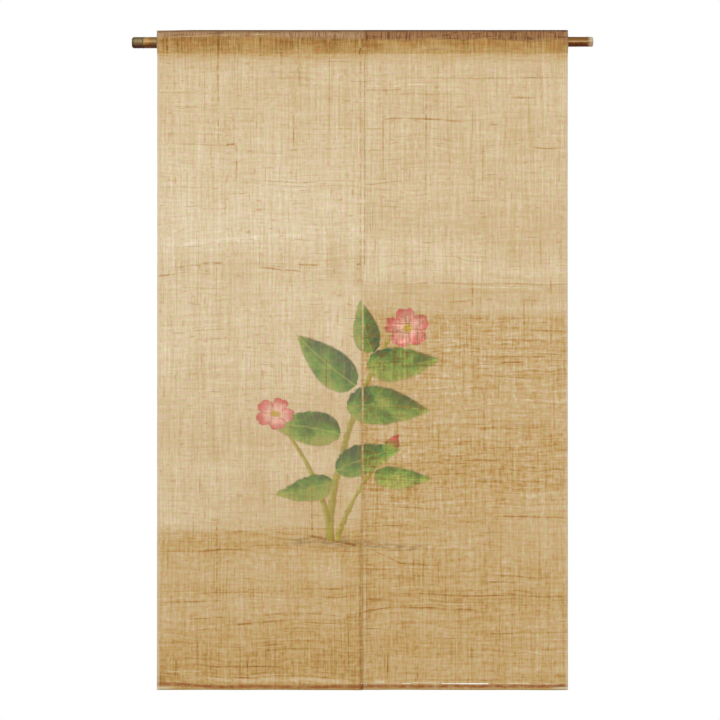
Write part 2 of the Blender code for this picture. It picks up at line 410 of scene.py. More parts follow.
def finish_mesh(name, mesh, sharp=None):
    """An object of the mesh, smooth but for edges sharper than the given angle."""
    bmesh.ops.recalc_face_normals(mesh, faces=mesh.faces)
    data = bpy.data.meshes.new(name)
    mesh.to_mesh(data)
    mesh.free()
    data.shade_smooth()
    if sharp:
        data.set_sharp_from_angle(angle=math.radians(sharp))
    return place_object(name, data)


def add_ring(mesh, centre, up, across, reaches):
    """Corners round a centre, one for each reach from it, starting upward."""
    ring = []
    for i, reach in enumerate(reaches):
        turn = 2.0 * math.pi * i / len(reaches)
        ring.append(mesh.verts.new(centre + reach * (up * math.cos(turn) + across * math.sin(turn))))
    return ring


def join_rings(mesh, here, there, slot=0):
    count = len(here)
    for i in range(count):
        j = (i + 1) % count
        mesh.faces.new((here[i], here[j], there[j], there[i])).material_index = slot


class Grid:
    """Collects a cloth's points, faces, flat-cloth places and bake places."""

    def __init__(self):
        self.points = []
        self.faces = []
        self.slots = []
        self.places = []
        self.bakes = []

    def add_line(self, points):
        start = len(self.points)
        self.points += points
        return list(range(start, start + len(points)))

    def add_face(self, corners, slot):
        """corners: (point, flat-cloth place, bake place) for each corner."""
        self.faces.append([c[0] for c in corners])
        self.slots.append(slot)
        self.places.append([c[1] for c in corners])
        self.bakes.append([c[2] for c in corners])


# Bake layout: strips of the picture for each line of a section, from and to across it
BAKE_STRIPS = {
    "front": (0.01, 0.60), "back": (0.62, 0.97), "outer": (0.01, 0.60), "inner": (0.62, 0.97),
}
BAKE_SHEET_TOP = 0.90
BAKE_TOP = 0.99
FRONT_SLOT, BACK_SLOT, PAINTED_SLOT = 0, 1, 2
PAINTED_X = (-270.0 * MM, 260.0 * MM)
PAINTED_HEIGHT = (290.0 * MM, 850.0 * MM)


def bake_place(line, share, row_share):
    low, high = BAKE_STRIPS[line]
    if line in ("front", "back"):
        return (low + (high - low) * share, 0.01 + (BAKE_SHEET_TOP - 0.02) * row_share)
    return (low + (high - low) * share, BAKE_SHEET_TOP + (BAKE_TOP - BAKE_SHEET_TOP) * row_share)


def build_cloth(name, side):
    """The fine cloth of one panel, on the folds of its solid."""
    grid = Grid()
    shares = column_shares()
    sections = [panel_section(side, share) for share in shares]
    columns = []
    for section, share in zip(sections, shares):
        lines = {line: grid.add_line(section[line]) for line in ("front", "back")}
        outer = grid.add_line(section["outer"][1:-1])
        lines["outer"] = [lines["front"][-1]] + outer + [lines["back"][-1]]
        inner = grid.add_line(section["inner"][:-1])
        lines["inner"] = inner + [inner[0]]
        columns.append((lines, section, cloth_heights(section), share))
    for here, there in zip(columns, columns[1:]):
        for line in ("front", "back", "outer", "inner"):
            add_strip(grid, side, line, here, there)
    for column in (columns[0], columns[-1]):
        close_selvedge(grid, column)
    return cloth_object(name, grid)


def corner(column, line, i, count):
    lines, section, heights, share = column
    place = (section[line][i][0], heights[line][i])
    return (lines[line][i], place, bake_place(line, share, i / count))


def add_strip(grid, side, line, here, there):
    """Faces between two neighbouring sections along one of their lines."""
    count = len(here[0][line]) - 1
    slot = FRONT_SLOT if line == "front" else BACK_SLOT
    crease = max(range(count + 1), key=lambda i: here[1][line][i][2])
    for i in range(count):
        if line in ("front", "back"):
            middle_x = (here[1][line][i][0] + there[1][line][i][0]) / 2.0
            middle_z = (here[1][line][i][2] + here[1][line][i + 1][2]) / 2.0
            if is_open(side, middle_x, middle_z):
                continue
        if line == "outer":
            slot = FRONT_SLOT if i < crease else BACK_SLOT
        if line == "front":
            slot = front_slot(here[1][line][i][0], here[2][line][i])
        grid.add_face(
            [
                corner(here, line, i, count),
                corner(here, line, i + 1, count),
                corner(there, line, i + 1, count),
                corner(there, line, i, count),
            ],
            slot,
        )
    if line == "front":
        add_hem_edge(grid, here, there)


def front_slot(x, height):
    """The front's faces inside the painted area get the painted cloth."""
    across = PAINTED_X[0] < x < PAINTED_X[1]
    up = PAINTED_HEIGHT[0] < height < PAINTED_HEIGHT[1]
    return PAINTED_SLOT if across and up else FRONT_SLOT


def add_hem_edge(grid, here, there):
    """The hem's rolled lower edge, between front and back."""
    count = len(here[0]["front"]) - 1
    grid.add_face(
        [
            corner(here, "front", 0, count),
            corner(there, "front", 0, count),
            corner(there, "back", 0, count),
            corner(here, "back", 0, count),
        ],
        FRONT_SLOT,
    )


def close_selvedge(grid, column):
    lines = column[0]
    sheet = len(lines["front"]) - 1
    ring = len(lines["outer"]) - 1
    for i in range(sheet):
        ends = [("front", i), ("front", i + 1), ("back", i + 1), ("back", i)]
        grid.add_face([corner(column, line, k, sheet) for line, k in ends], FRONT_SLOT)
    for i in range(ring):
        ends = [("outer", i), ("outer", i + 1), ("inner", i + 1), ("inner", i)]
        grid.add_face([corner(column, line, k, ring) for line, k in ends], FRONT_SLOT)
    ends = [("outer", 0), ("inner", 0), ("outer", ring)]
    grid.add_face([corner(column, line, k, ring) for line, k in ends], FRONT_SLOT)


def cloth_object(name, grid):
    data = bpy.data.meshes.new(name)
    data.from_pydata(grid.points, [], grid.faces)
    data.polygons.foreach_set("material_index", grid.slots)
    for layer_name, source in ((CLOTH_MAP, grid.places), ("OFBake", grid.bakes)):
        layer = data.uv_layers.new(name=layer_name, do_init=False)
        flat = [number for face in source for pair in face for number in pair]
        layer.uv.foreach_set("vector", flat)
    mesh = bmesh.new()
    mesh.from_mesh(data)
    bmesh.ops.recalc_face_normals(mesh, faces=mesh.faces)
    mesh.to_mesh(data)
    mesh.free()
    data.shade_smooth()
    data.set_sharp_from_angle(angle=math.radians(CLOTH_SHARP))
    return place_object(name, data)


def face_depth(side, x, z):
    """Depth of the cloth's front face below the tunnel."""
    sewn = pucker(x, z, HEM_Z + HEM_DEPTH) + pucker(x, z, SEAM_Z)
    return FACE_DEPTH + wave(x, z) + lap_shift(side, x, z) + sewn


# Rod

def rod_stations():
    """Cuts along the bamboo: place and radius, with rounded ends, ridges and grooves at its nodes."""
    places = set()
    count = round(2.0 * ROD_HALF_LENGTH / ROD_STEP)
    for i in range(1, count):
        places.add(-ROD_HALF_LENGTH + 2.0 * ROD_HALF_LENGTH * i / count)
    for node in ROD_NODES_X:
        for offset in NODE_OFFSETS:
            places.add((node + offset) * MM)
    reach = ROD_HALF_LENGTH - max(ROD_END_ROUNDING.values()) - 0.4 * MM
    middle = [(x, rod_radius(x) + node_swell(x)) for x in sorted(places) if abs(x) < reach]
    return rounded_end("left", -1.0) + middle + rounded_end("right", 1.0)[::-1]


def rounded_end(side, outward):
    """Cuts of a rounded rod end, from its tip inward."""
    rounding = ROD_END_ROUNDING[side]
    cuts = []
    for angle in ROD_END_ANGLES:
        turn = math.radians(angle)
        x = outward * (ROD_HALF_LENGTH - rounding * (1.0 - math.cos(turn)))
        cuts.append((x, rod_radius(x) - rounding * (1.0 - math.sin(turn))))
    return cuts


def node_swell(x):
    swell = 0.0
    for node in ROD_NODES_X:
        away = x - node * MM
        swell += NODE_RIDGE * math.exp(-((away / (0.9 * MM)) ** 2))
        swell -= NODE_GROOVE * math.exp(-(((away + 2.4 * MM) / (0.8 * MM)) ** 2))
    return swell


def build_rod(name):
    """The bamboo pole: bark along its length, a cut face and a pith hole at each end."""
    mesh = bmesh.new()
    turns = [2.0 * math.pi * i / ROD_SIDES for i in range(ROD_SIDES)]
    rings = []
    for x, radius in rod_stations():
        reaches = []
        for turn in turns:
            uneven = 1.0 + 0.012 * noise.noise(Vector((x * 9.0, math.cos(turn), math.sin(turn))))
            reaches.append(radius * min(uneven, 1.004))
        rings.append(add_ring(mesh, Vector((x, 0.0, rod_centre_z(x))), UP, BACKWARD, reaches))
    for here, there in zip(rings, rings[1:]):
        join_rings(mesh, here, there)
    add_cut_end(mesh, rings[0], -ROD_HALF_LENGTH, 1.0)
    add_cut_end(mesh, rings[-1], ROD_HALF_LENGTH, -1.0)
    return finish_mesh(name, mesh, ROD_SHARP)


def add_cut_end(mesh, rim, x, inward):
    """The sawn end, slightly dished, with the pith hole in its middle."""
    dished = [(rod_radius(x) * share, sink * MM) for share, sink in ((0.5, 0.15), (0.4, 0.3), (0.3, 0.4))]
    pith = [(PITH_RADIUS, depth) for depth in (0.4 * MM, 1.2 * MM, PITH_DEPTH)]
    last = rim
    for radius, depth in dished + pith:
        centre = Vector((x + inward * depth, 0.0, rod_centre_z(x)))
        ring = add_ring(mesh, centre, UP, BACKWARD, [radius] * ROD_SIDES)
        join_rings(mesh, last, ring, CUT_SLOT)
        last = ring
    mesh.faces.new(last).material_index = CUT_SLOT


# Sewing

def add_stitch(mesh, start, end, radius, lift):
    """One stitch: a short yarn that rises out of the cloth by lift and goes back in."""
    across = (end - start).normalized().cross(FORWARD).normalized()
    rings = []
    for share in (0.0, 0.18, 0.5, 0.82, 1.0):
        middle = start.lerp(end, share) + FORWARD * lift * math.sin(math.pi * share)
        size = radius * (0.55 if share in (0.0, 1.0) else 1.0)
        rings.append(add_ring(mesh, middle, FORWARD, across, [size] * YARN_SIDES))
    for here, there in zip(rings, rings[1:]):
        join_rings(mesh, here, there)
    mesh.faces.new(rings[0])
    mesh.faces.new(list(reversed(rings[-1])))


def side_of(x):
    return "left" if x < TUNNEL_BUTT_X else "right"


def front_spot(side, x, z):
    return Vector((x, face_depth(side, x, z), z))


def build_line_stitches(name, line_height, low_x, high_x, rng):
    """Small catching stitches on the front, along a level line."""
    mesh = bmesh.new()
    x = low_x
    while x < high_x:
        side = side_of(x)
        z = HEM_Z + line_height + rng.uniform(-0.25, 0.25) * MM
        if line_height > DROP / 2.0:
            z += seam_z(side, x) - SEAM_Z
        start = front_spot(side, x, z)
        end = front_spot(side, x + 1.3 * MM, z + 0.1 * MM)
        add_stitch(mesh, start, end, 0.22 * MM, 0.15 * MM)
        x += rng.uniform(7.5, 9.5) * MM
    return finish_mesh(name, mesh)


def build_join_stitches(name, rng):
    """Running stitches down both edges of the lapped middle join."""
    mesh = bmesh.new()
    top = SEAM_Z - 9.0 * MM
    bottom = -512.0 * MM
    for edge in (-3.2 * MM, 3.0 * MM):
        z = top
        while z > bottom:
            length = rng.uniform(2.6, 3.6) * MM
            x = edge + rng.uniform(-0.2, 0.2) * MM
            start = front_spot("left", x, z)
            end = front_spot("left", x, z - length)
            add_stitch(mesh, start, end, 0.24 * MM, 0.18 * MM)
            z -= length + rng.uniform(2.6, 3.8) * MM
    return finish_mesh(name, mesh)


def build_tack(name, centre_x, centre_z, width, count, slant, rng):
    """A bar tack: a few short yarns side by side across the edge of the upper panel."""
    mesh = bmesh.new()
    for i in range(count):
        z = centre_z + (i - (count - 1) / 2.0) * 0.62 * MM
        half = width / 2.0 * rng.uniform(0.85, 1.1)
        depth = face_depth("left", centre_x, z) - 0.05 * MM
        start = Vector((centre_x - half, depth, z - slant))
        end = Vector((centre_x + half, depth, z + slant))
        add_stitch(mesh, start, end, 0.32 * MM, 0.45 * MM)
    return finish_mesh(name, mesh)


def tunnel_spot(side, x, z):
    """A place on the tunnel's front wall."""
    outer = half_pocket(x, seam_z(side, x), crease_z(side, x))[1]
    reach = outer[0][0]
    for (depth, low), (next_depth, high) in zip(outer, outer[1:]):
        if low <= z <= high:
            reach = depth + (next_depth - depth) * (z - low) / (high - low)
    return Vector((x, wave(x, z) + lap_shift(side, x, z) - reach, z))


def build_white_stitches(name):
    """White stitches: two beside the tunnel's middle join, and a small cross over the hem at the slit."""
    mesh = bmesh.new()
    for x in (-3.9 * MM, 6.0 * MM):
        start = tunnel_spot("left", x - 0.6 * MM, -12.2 * MM)
        end = tunnel_spot("left", x + 0.6 * MM, -9.6 * MM)
        add_stitch(mesh, start, end, 0.55 * MM, 0.5 * MM)
    level = HEM_Z + 14.6 * MM
    here = front_spot("left", -3.2 * MM, level)
    there = front_spot("right", 9.4 * MM, level)
    add_stitch(mesh, here, there, 0.5 * MM, 1.2 * MM)
    upper = front_spot("right", 7.6 * MM, HEM_Z + 18.0 * MM)
    lower = front_spot("right", 8.4 * MM, HEM_Z + 9.0 * MM)
    add_stitch(mesh, upper, lower, 0.5 * MM, 0.6 * MM)
    return finish_mesh(name, mesh)


def build_ladder_yarns(name, rng):
    """Warp yarns that still cross the open wefts above the right hem."""
    mesh = bmesh.new()
    for row in OPEN_WEFTS:
        x = (row["low"] + 2.0) * MM
        half = row["tall"] * MM / 2.0 + 0.3 * MM
        while x < (row["high"] - 1.0) * MM:
            z = HEM_Z + OPEN_WEFT_HEIGHT
            depth = face_depth("right", x, z) + CLOTH_THICK / 2.0
            start = Vector((x, depth, z - half))
            end = Vector((x + rng.uniform(-0.4, 0.4) * MM, depth, z + half))
            add_stitch(mesh, start, end, 0.16 * MM, 0.05 * MM)
            x += rng.uniform(14.0, 30.0) * MM
    return finish_mesh(name, mesh)


# Shader building

class Field:
    """A shader value that takes part in sums like a plain number."""

    def __init__(self, tree, socket):
        self.tree = tree
        self.socket = socket

    def __add__(self, other):
        return self.tree.math("ADD", self, other)

    def __sub__(self, other):
        return self.tree.math("SUBTRACT", self, other)

    def __rsub__(self, other):
        return self.tree.math("SUBTRACT", other, self)

    def __mul__(self, other):
        return self.tree.math("MULTIPLY", self, other)

    def __truediv__(self, other):
        return self.tree.math("DIVIDE", self, other)

    def __abs__(self):
        return self.tree.math("ABSOLUTE", self)

    __radd__ = __add__
    __rmul__ = __mul__


class Tree:
    """Adds shader nodes one short call at a time."""

    def __init__(self, tree):
        self.tree = tree

    def add(self, kind, given=None, **settings):
        """A node with its settings, and with values or fields fed to its inputs."""
        node = self.tree.nodes.new(kind)
        for key, value in settings.items():
            setattr(node, key, value)
        for key, value in (given or {}).items():
            self.feed(node.inputs[key], value)
        return node

    def result(self, node, key=0):
        return Field(self, node.outputs[key])

    def feed(self, socket, value):
        if isinstance(value, Field):
            self.tree.links.new(value.socket, socket)
        else:
            socket.default_value = value

    def math(self, operation, a, b=0.0, clamp=False):
        node = self.add("ShaderNodeMath", {0: a, 1: b}, operation=operation, use_clamp=clamp)
        return self.result(node)

    def largest(self, a, b):
        return self.math("MAXIMUM", a, b)

    def clamp(self, value):
        """The value, kept between 0 and 1."""
        return self.math("ADD", value, 0.0, clamp=True)

    def ramp_up(self, value, low, high):
        """0 below low, 1 above high, smooth between. It falls where low is the greater one."""
        given = {"Value": value, "From Min": low, "From Max": high}
        return self.result(self.add("ShaderNodeMapRange", given, interpolation_type="SMOOTHSTEP"))

    def near(self, value, place, reach, core):
        """1 within core of a place, falling to 0 at reach from it."""
        return self.ramp_up(abs(value - place), reach, core)

    def mix(self, factor, a, b, blend="MIX"):
        given = {"Factor": factor, 6: a, 7: b}
        return self.result(self.add("ShaderNodeMix", given, data_type="RGBA", blend_type=blend), 2)

    def split(self, vector):
        node = self.add("ShaderNodeSeparateXYZ", {0: vector})
        return [self.result(node, i) for i in range(3)]

    def join(self, x, y):
        return self.result(self.add("ShaderNodeCombineXYZ", {0: x, 1: y}))

    def noise(self, vector, scale=1.0, detail=1.0, roughness=0.5, dimensions="2D"):
        given = {"Vector": vector, "Scale": scale, "Detail": detail, "Roughness": roughness}
        return self.result(self.add("ShaderNodeTexNoise", given, noise_dimensions=dimensions))

    def patches(self, x, y, across, up, detail=2.0):
        """Noise with its own number of patches per metre across and up."""
        return self.noise(self.join(x * across, y * up), detail=detail)

    def ramp(self, value, stops, mode="LINEAR"):
        """A colour ramp: stops are (position, colour)."""
        node = self.add("ShaderNodeValToRGB", {0: value})
        node.color_ramp.interpolation = mode
        elements = node.color_ramp.elements
        while len(elements) > 1:
            elements.remove(elements[-1])
        elements[0].position, elements[0].color = stops[0]
        for position, colour in stops[1:]:
            elements.new(position).color = colour
        return self.result(node)

    def ramp_parts(self, value, stops, mode):
        """A colour ramp's red, green and blue, and its alpha."""
        colour = self.ramp(value, stops, mode)
        parts = self.add("ShaderNodeSeparateColor", {0: colour})
        return [self.result(parts, i) for i in range(3)], self.result(colour.socket.node, 1)

    def grey(self, value):
        return self.result(self.add("ShaderNodeCombineColor", {0: value, 1: value, 2: value}))

    def group(self, group, **values):
        """A placed node group: its outputs by name."""
        given = {key.replace("_", " "): value for key, value in values.items()}
        node = self.add("ShaderNodeGroup", given, node_tree=group)
        return {socket.name: Field(self, socket) for socket in node.outputs}

    def bump(self, height, strength, distance):
        given = {"Height": height, "Strength": strength, "Distance": distance}
        return self.result(self.add("ShaderNodeBump", given))


SOCKET_KINDS = {"Place": "NodeSocketVector", "Colour": "NodeSocketColor"}


def new_group(name, inputs, outputs):
    """An empty node group that takes a place and the named inputs, and gives the named outputs."""
    group = bpy.data.node_groups.new(name, "ShaderNodeTree")
    for socket_name, value in {"Place": None, **inputs}.items():
        kind = SOCKET_KINDS.get(socket_name, "NodeSocketFloat")
        socket = group.interface.new_socket(name=socket_name, in_out="INPUT", socket_type=kind)
        if value is not None:
            socket.default_value = value
    for socket_name in outputs:
        kind = SOCKET_KINDS.get(socket_name, "NodeSocketFloat")
        group.interface.new_socket(name=socket_name, in_out="OUTPUT", socket_type=kind)
    tree = Tree(group)
    given = {socket.name: Field(tree, socket) for socket in tree.add("NodeGroupInput").outputs}
    return group, tree, given, tree.add("NodeGroupOutput").inputs


def new_material(name):
    """A material, the tree that builds it and its own shader."""
    material = bpy.data.materials.new(name)
    material.use_nodes = True
    return material, Tree(material.node_tree), material.node_tree.nodes["Principled BSDF"]


def make_yarn_drift():
    """Wefts that sway up and down a little, and warps that lean, as in loosely woven hemp."""
    group, tree, given, out = new_group("yarn_drift", {"Sway": 10.0 * MM}, ["Place"])
    x, y, _ = tree.split(given["Place"])
    slow = tree.patches(x, y, 6.0, 14.0)
    sway = (slow - 0.5) * given["Sway"]
    lean_noise = tree.patches(x, y, 22.0, 3.0)
    lean = (lean_noise - 0.5) * 0.006
    placed = tree.join(x + lean, y + sway)
    tree.feed(out["Place"], placed)
    return group


def make_yarn_lines():
    """Yarn-long differences of tone: -1 to 1, quick across the yarns and slow along them."""
    group, tree, given, out = new_group(
        "yarn_lines",
        {"Per metre X": 300.0, "Per metre Y": 12.0, "Seed": 0.0},
        ["Tone"],
    )
    x, y, _ = tree.split(given["Place"])
    sx = given["Seed"] + x * given["Per metre X"]
    sy = given["Seed"] + y * given["Per metre Y"]
    wool = tree.noise(tree.join(sx, sy), detail=1.0, roughness=0.5)
    tone = (wool - 0.5) * 4.0
    tree.feed(out["Tone"], tone)
    return group


def make_slubs(yarn_lines):
    """Rare thick or dark lengths of yarn."""
    group, tree, given, out = new_group(
        "slubs",
        {"Per metre X": 300.0, "Per metre Y": 12.0, "Seed": 0.0, "Rarity": 1.0},
        ["Mask"],
    )
    lines = tree.group(
        yarn_lines,
        Place=given["Place"],
        Per_metre_X=given["Per metre X"],
        Per_metre_Y=given["Per metre Y"],
        Seed=given["Seed"],
    )
    high = given["Rarity"] + 0.45
    tree.feed(out["Mask"], tree.ramp_up(lines["Tone"], given["Rarity"], high))
    return group


def make_plain_weave():
    """Over-and-under of single yarns: a height, and painted shade in the gaps between yarns."""
    group, tree, given, out = new_group("plain_weave", {"Pitch": 1.3 * MM}, ["Height", "Gap_shade"])
    x, y, _ = tree.split(given["Place"])
    jitter = tree.noise(given["Place"], scale=420.0, detail=1.0)
    nudge = (jitter - 0.5) * 1.6
    turns_x = x * math.pi / given["Pitch"] + nudge
    turns_y = y * math.pi / given["Pitch"] + nudge
    warp = tree.math("SINE", turns_x)
    weft = tree.math("SINE", turns_y)
    crossing = tree.math("COSINE", turns_x) * tree.math("COSINE", turns_y)
    body = tree.largest(abs(warp), abs(weft))
    height = body + crossing * 0.25
    tree.feed(out["Height"], height)
    tree.feed(out["Gap_shade"], tree.ramp_up(body, 0.62, 0.25))
    return group


def make_streak():
    """One thick weft or brush stroke: long, thin, bowed, fading at both ends."""
    group, tree, given, out = new_group(
        "streak",
        {"X": 0.0, "Y": 0.0, "Half length": 0.05, "Half thick": 0.001, "Slope": 0.0, "Bow": 0.0},
        ["Mask"],
    )
    x, y, _ = tree.split(given["Place"])
    off = x - given["X"]
    along = off / given["Half length"]
    square = along * along
    line = given["Y"] + off * given["Slope"]
    line += square * given["Bow"]
    away = (y - line) / given["Half thick"]
    across = tree.ramp_up(abs(away), 1.0, 0.2)
    ends = tree.ramp_up(square, 1.0, 0.15)
    tree.feed(out["Mask"], across * ends)
    return group


# Painted spray

def make_leaf():
    """One painted leaf: its outline, its darker half, its veins and its reach from stalk to tip."""
    group, tree, given, out = new_group(
        "painted_leaf",
        {"X": 0.0, "Y": 0.0, "Turn": 0.0, "Length": 0.1, "Half width": 0.02, "Bend": 0.0},
        ["Mask", "Side", "Veins", "Reach"],
    )
    x, y, _ = tree.split(given["Place"])
    dx = (x - given["X"]) / given["Length"]
    dy = (y - given["Y"]) / given["Length"]
    cosine = tree.math("COSINE", given["Turn"])
    sine = tree.math("SINE", given["Turn"])
    reach = dy * sine + dx * cosine
    swing = dy * cosine - dx * sine
    swing += reach * reach * given["Bend"]
    inside = tree.largest(reach, 0.0)
    taper = tree.largest(1.0 - reach, 0.0)
    wide = tree.math("SQRT", inside) * (taper * 2.6)
    wide *= given["Half width"] / given["Length"]
    room = wide - abs(swing)
    tree.feed(out["Mask"], tree.ramp_up(room, 0.0, 0.035))
    tree.feed(out["Side"], swing / (wide + 0.001))
    rib = tree.ramp_up(abs(swing), 0.016, 0.004)
    slant = reach * 8.0 - abs(swing) * 5.5
    comb = abs(tree.math("FRACT", slant) - 0.5)
    side_veins = tree.ramp_up(comb, 0.1, 0.02) * 0.45
    tree.feed(out["Veins"], tree.largest(rib, side_veins))
    tree.feed(out["Reach"], reach)
    return group


def make_bloom():
    """One painted five-petalled bloom: outline, distance from its heart, and lines between petals."""
    group, tree, given, out = new_group(
        "painted_bloom",
        {"X": 0.0, "Y": 0.0, "Radius": 0.05, "Turn": 0.0, "Flatness": 1.0},
        ["Mask", "Reach", "Folds"],
    )
    x, y, _ = tree.split(given["Place"])
    dx = (x - given["X"]) / given["Radius"]
    dy = (y - given["Y"]) / given["Radius"]
    dy *= given["Flatness"]
    reach = tree.math("SQRT", dy * dy + dx * dx)
    angle = tree.math("ARCTAN2", dy, dx) / (2.0 * math.pi / 5.0)
    petal = tree.math("FRACT", angle + given["Turn"] + 10.0)
    away = abs(petal * 2.0 - 1.0)
    cubed = tree.math("POWER", away, 3.0)
    notch = tree.ramp_up(away, 0.28, 0.0) * 0.07
    rim = 1.0 - cubed * 0.34 - notch
    tree.feed(out["Mask"], tree.ramp_up(rim - reach, 0.0, 0.05))
    tree.feed(out["Reach"], reach)
    folds = tree.ramp_up(away, 0.8, 1.0) * tree.ramp_up(reach, 0.2, 0.6)
    tree.feed(out["Folds"], folds)
    return group


def make_stem():
    """One painted stem that rises from its foot, leans and bows."""
    group, tree, given, out = new_group(
        "painted_stem",
        {"X": 0.0, "Y": 0.0, "Height": 0.2, "Lean": 0.0, "Bow": 0.0, "Half thick": 0.004},
        ["Mask", "Side"],
    )
    x, y, _ = tree.split(given["Place"])
    rise = (y - given["Y"]) / given["Height"]
    middle = given["X"] + rise * given["Lean"]
    middle += rise * rise * given["Bow"]
    thin = given["Half thick"] * (1.15 - rise * 0.45)
    side = (x - middle) / thin
    width = tree.ramp_up(abs(side), 1.0, 0.6)
    length = tree.ramp_up(rise, 0.0, 0.03) * tree.ramp_up(rise, 1.0, 0.98)
    tree.feed(out["Mask"], width * length)
    tree.feed(out["Side"], side)
    return group


# The spray's pieces on the cloth: millimetres from the middle and above the hem, turns in degrees
STEMS = (
    {"x": -72.0, "y": 318.0, "height": 440.0, "lean": 16.0, "bow": 116.0, "thick": 9.0},
    {"x": -66.0, "y": 316.0, "height": 268.0, "lean": -24.0, "bow": -96.0, "thick": 7.4},
    {"x": -54.0, "y": 317.0, "height": 190.0, "lean": 46.0, "bow": 58.0, "thick": 6.6},
)
LEAVES = (
    {"x": -62.0, "y": 446.0, "turn": 200.0, "length": 132.0, "width": 30.0, "bend": 0.14, "fresh": 0.55},
    {"x": 24.0, "y": 462.0, "turn": -14.0, "length": 128.0, "width": 27.0, "bend": -0.18, "fresh": 0.7},
    {"x": -56.0, "y": 470.0, "turn": 28.0, "length": 150.0, "width": 36.0, "bend": 0.16, "fresh": 0.2},
    {"x": -48.0, "y": 548.0, "turn": 164.0, "length": 158.0, "width": 40.0, "bend": -0.14, "fresh": 0.35},
    {"x": -34.0, "y": 606.0, "turn": 8.0, "length": 182.0, "width": 46.0, "bend": 0.20, "fresh": 0.25},
    {"x": -14.0, "y": 652.0, "turn": 146.0, "length": 170.0, "width": 43.0, "bend": 0.12, "fresh": 0.1},
    {"x": 10.0, "y": 700.0, "turn": -6.0, "length": 160.0, "width": 40.0, "bend": -0.16, "fresh": 0.45},
    {"x": 22.0, "y": 722.0, "turn": 112.0, "length": 118.0, "width": 31.0, "bend": 0.16, "fresh": 0.3},
)
BLOOMS = (
    {"x": 96.0, "y": 776.0, "radius": 50.0, "turn": 0.15, "flat": 1.12},
    {"x": -188.0, "y": 592.0, "radius": 44.0, "turn": 0.60, "flat": 1.22},
)
BUDS = (
    {"x": 52.0, "y": 506.0, "turn": 62.0, "length": 52.0, "width": 16.0, "bend": 0.05},
)
GROUND_DABS = (
    {"x": -96.0, "y": 322.0, "half": 86.0, "thick": 13.0, "slope": 0.05, "bow": -5.0, "cover": 0.528},
    {"x": -30.0, "y": 313.0, "half": 96.0, "thick": 12.0, "slope": -0.03, "bow": 4.0, "cover": 0.576},
    {"x": 66.0, "y": 306.0, "half": 82.0, "thick": 12.0, "slope": -0.06, "bow": 3.0, "cover": 0.528},
    {"x": -60.0, "y": 320.0, "half": 46.0, "thick": 4.0, "slope": -0.04, "bow": 1.5, "cover": 0.6},
    {"x": 34.0, "y": 308.0, "half": 52.0, "thick": 3.6, "slope": -0.03, "bow": 1.5, "cover": 0.6},
)

LEAF_TONES = (
    (0.0, from_srgb(158, 156, 82)),
    (0.35, from_srgb(122, 148, 70)),
    (0.65, from_srgb(78, 122, 56)),
    (1.0, from_srgb(48, 80, 52)),
)
LEAF_FRESH = from_srgb(112, 146, 62)
LEAF_EDGE = from_srgb(168, 172, 78)
STEM_OLIVE = from_srgb(150, 130, 36)
BLOOM_RED = from_srgb(196, 66, 76)
BLOOM_PALE = from_srgb(232, 176, 158)
BLOOM_HEART = from_srgb(196, 160, 60)
GROUND_GREY = from_srgb(138, 112, 84)
# How strongly each kind of piece covers the cloth
STEM_COVER, LEAF_COVER, BUD_COVER, BLOOM_COVER = 0.78, 0.86, 0.85, 0.82
# How far the brush shakes, and its dry bristles: patches per metre across and up
BRUSH_SHAKE = 9.0 * MM
BRUSH_BRISTLES = (34.0, 210.0)


def on_panel(rows, side):
    """The painted pieces whose reach crosses onto a panel."""
    kept = []
    for row in rows:
        reach = max(row.get(key, 0.0) for key in ("length", "half", "radius"))
        reach = max(reach, abs(row.get("lean", 0.0)) + abs(row.get("bow", 0.0)) * ("height" in row))
        inside = row["x"] - reach < 8.0 if side == "left" else row["x"] + reach > 0.0
        if inside:
            kept.append(row)
    return kept


def place_leaf(tree, leaf, place, row):
    return tree.group(
        leaf, Place=place, X=row["x"] * MM, Y=row["y"] * MM, Turn=math.radians(row["turn"]),
        Length=row["length"] * MM, Half_width=row["width"] * MM, Bend=row["bend"],
    )


def stem_shade(tree, piece):
    return tree.mix(tree.ramp_up(piece["Side"], -1.2, 0.4), LEAF_EDGE, STEM_OLIVE)


def leaf_shade(tree, piece, row, wash):
    """Green that deepens to the leaf's lower half, with paler veins and tip."""
    upward = 1.0 if math.cos(math.radians(row["turn"])) > 0.0 else -1.0
    deep = wash * 3.2 - (1.2 + row["fresh"]) + piece["Side"] * (0.75 * upward)
    shade = tree.ramp(tree.ramp_up(deep, -1.2, 1.2), LEAF_TONES)
    shade = tree.mix(piece["Veins"] * 0.45, shade, LEAF_EDGE)
    return tree.mix(tree.ramp_up(piece["Reach"], 0.7, 1.0) * 0.45, shade, LEAF_EDGE)


def bud_shade(tree, piece):
    return tree.mix(tree.ramp_up(piece["Reach"], 0.15, 0.85), LEAF_FRESH, BLOOM_RED)


def bloom_shade(tree, piece, wash):
    """Pale petals, redder at their rims and folds, round a yellow heart."""
    depth = piece["Reach"] - 0.62 + wash * 0.9
    shade = tree.mix(tree.ramp_up(depth, 0.0, 0.9), BLOOM_PALE, BLOOM_RED)
    shade = tree.mix(piece["Folds"] * 0.7, shade, BLOOM_RED)
    return tree.mix(tree.ramp_up(piece["Reach"], 0.26, 0.14), shade, BLOOM_HEART)


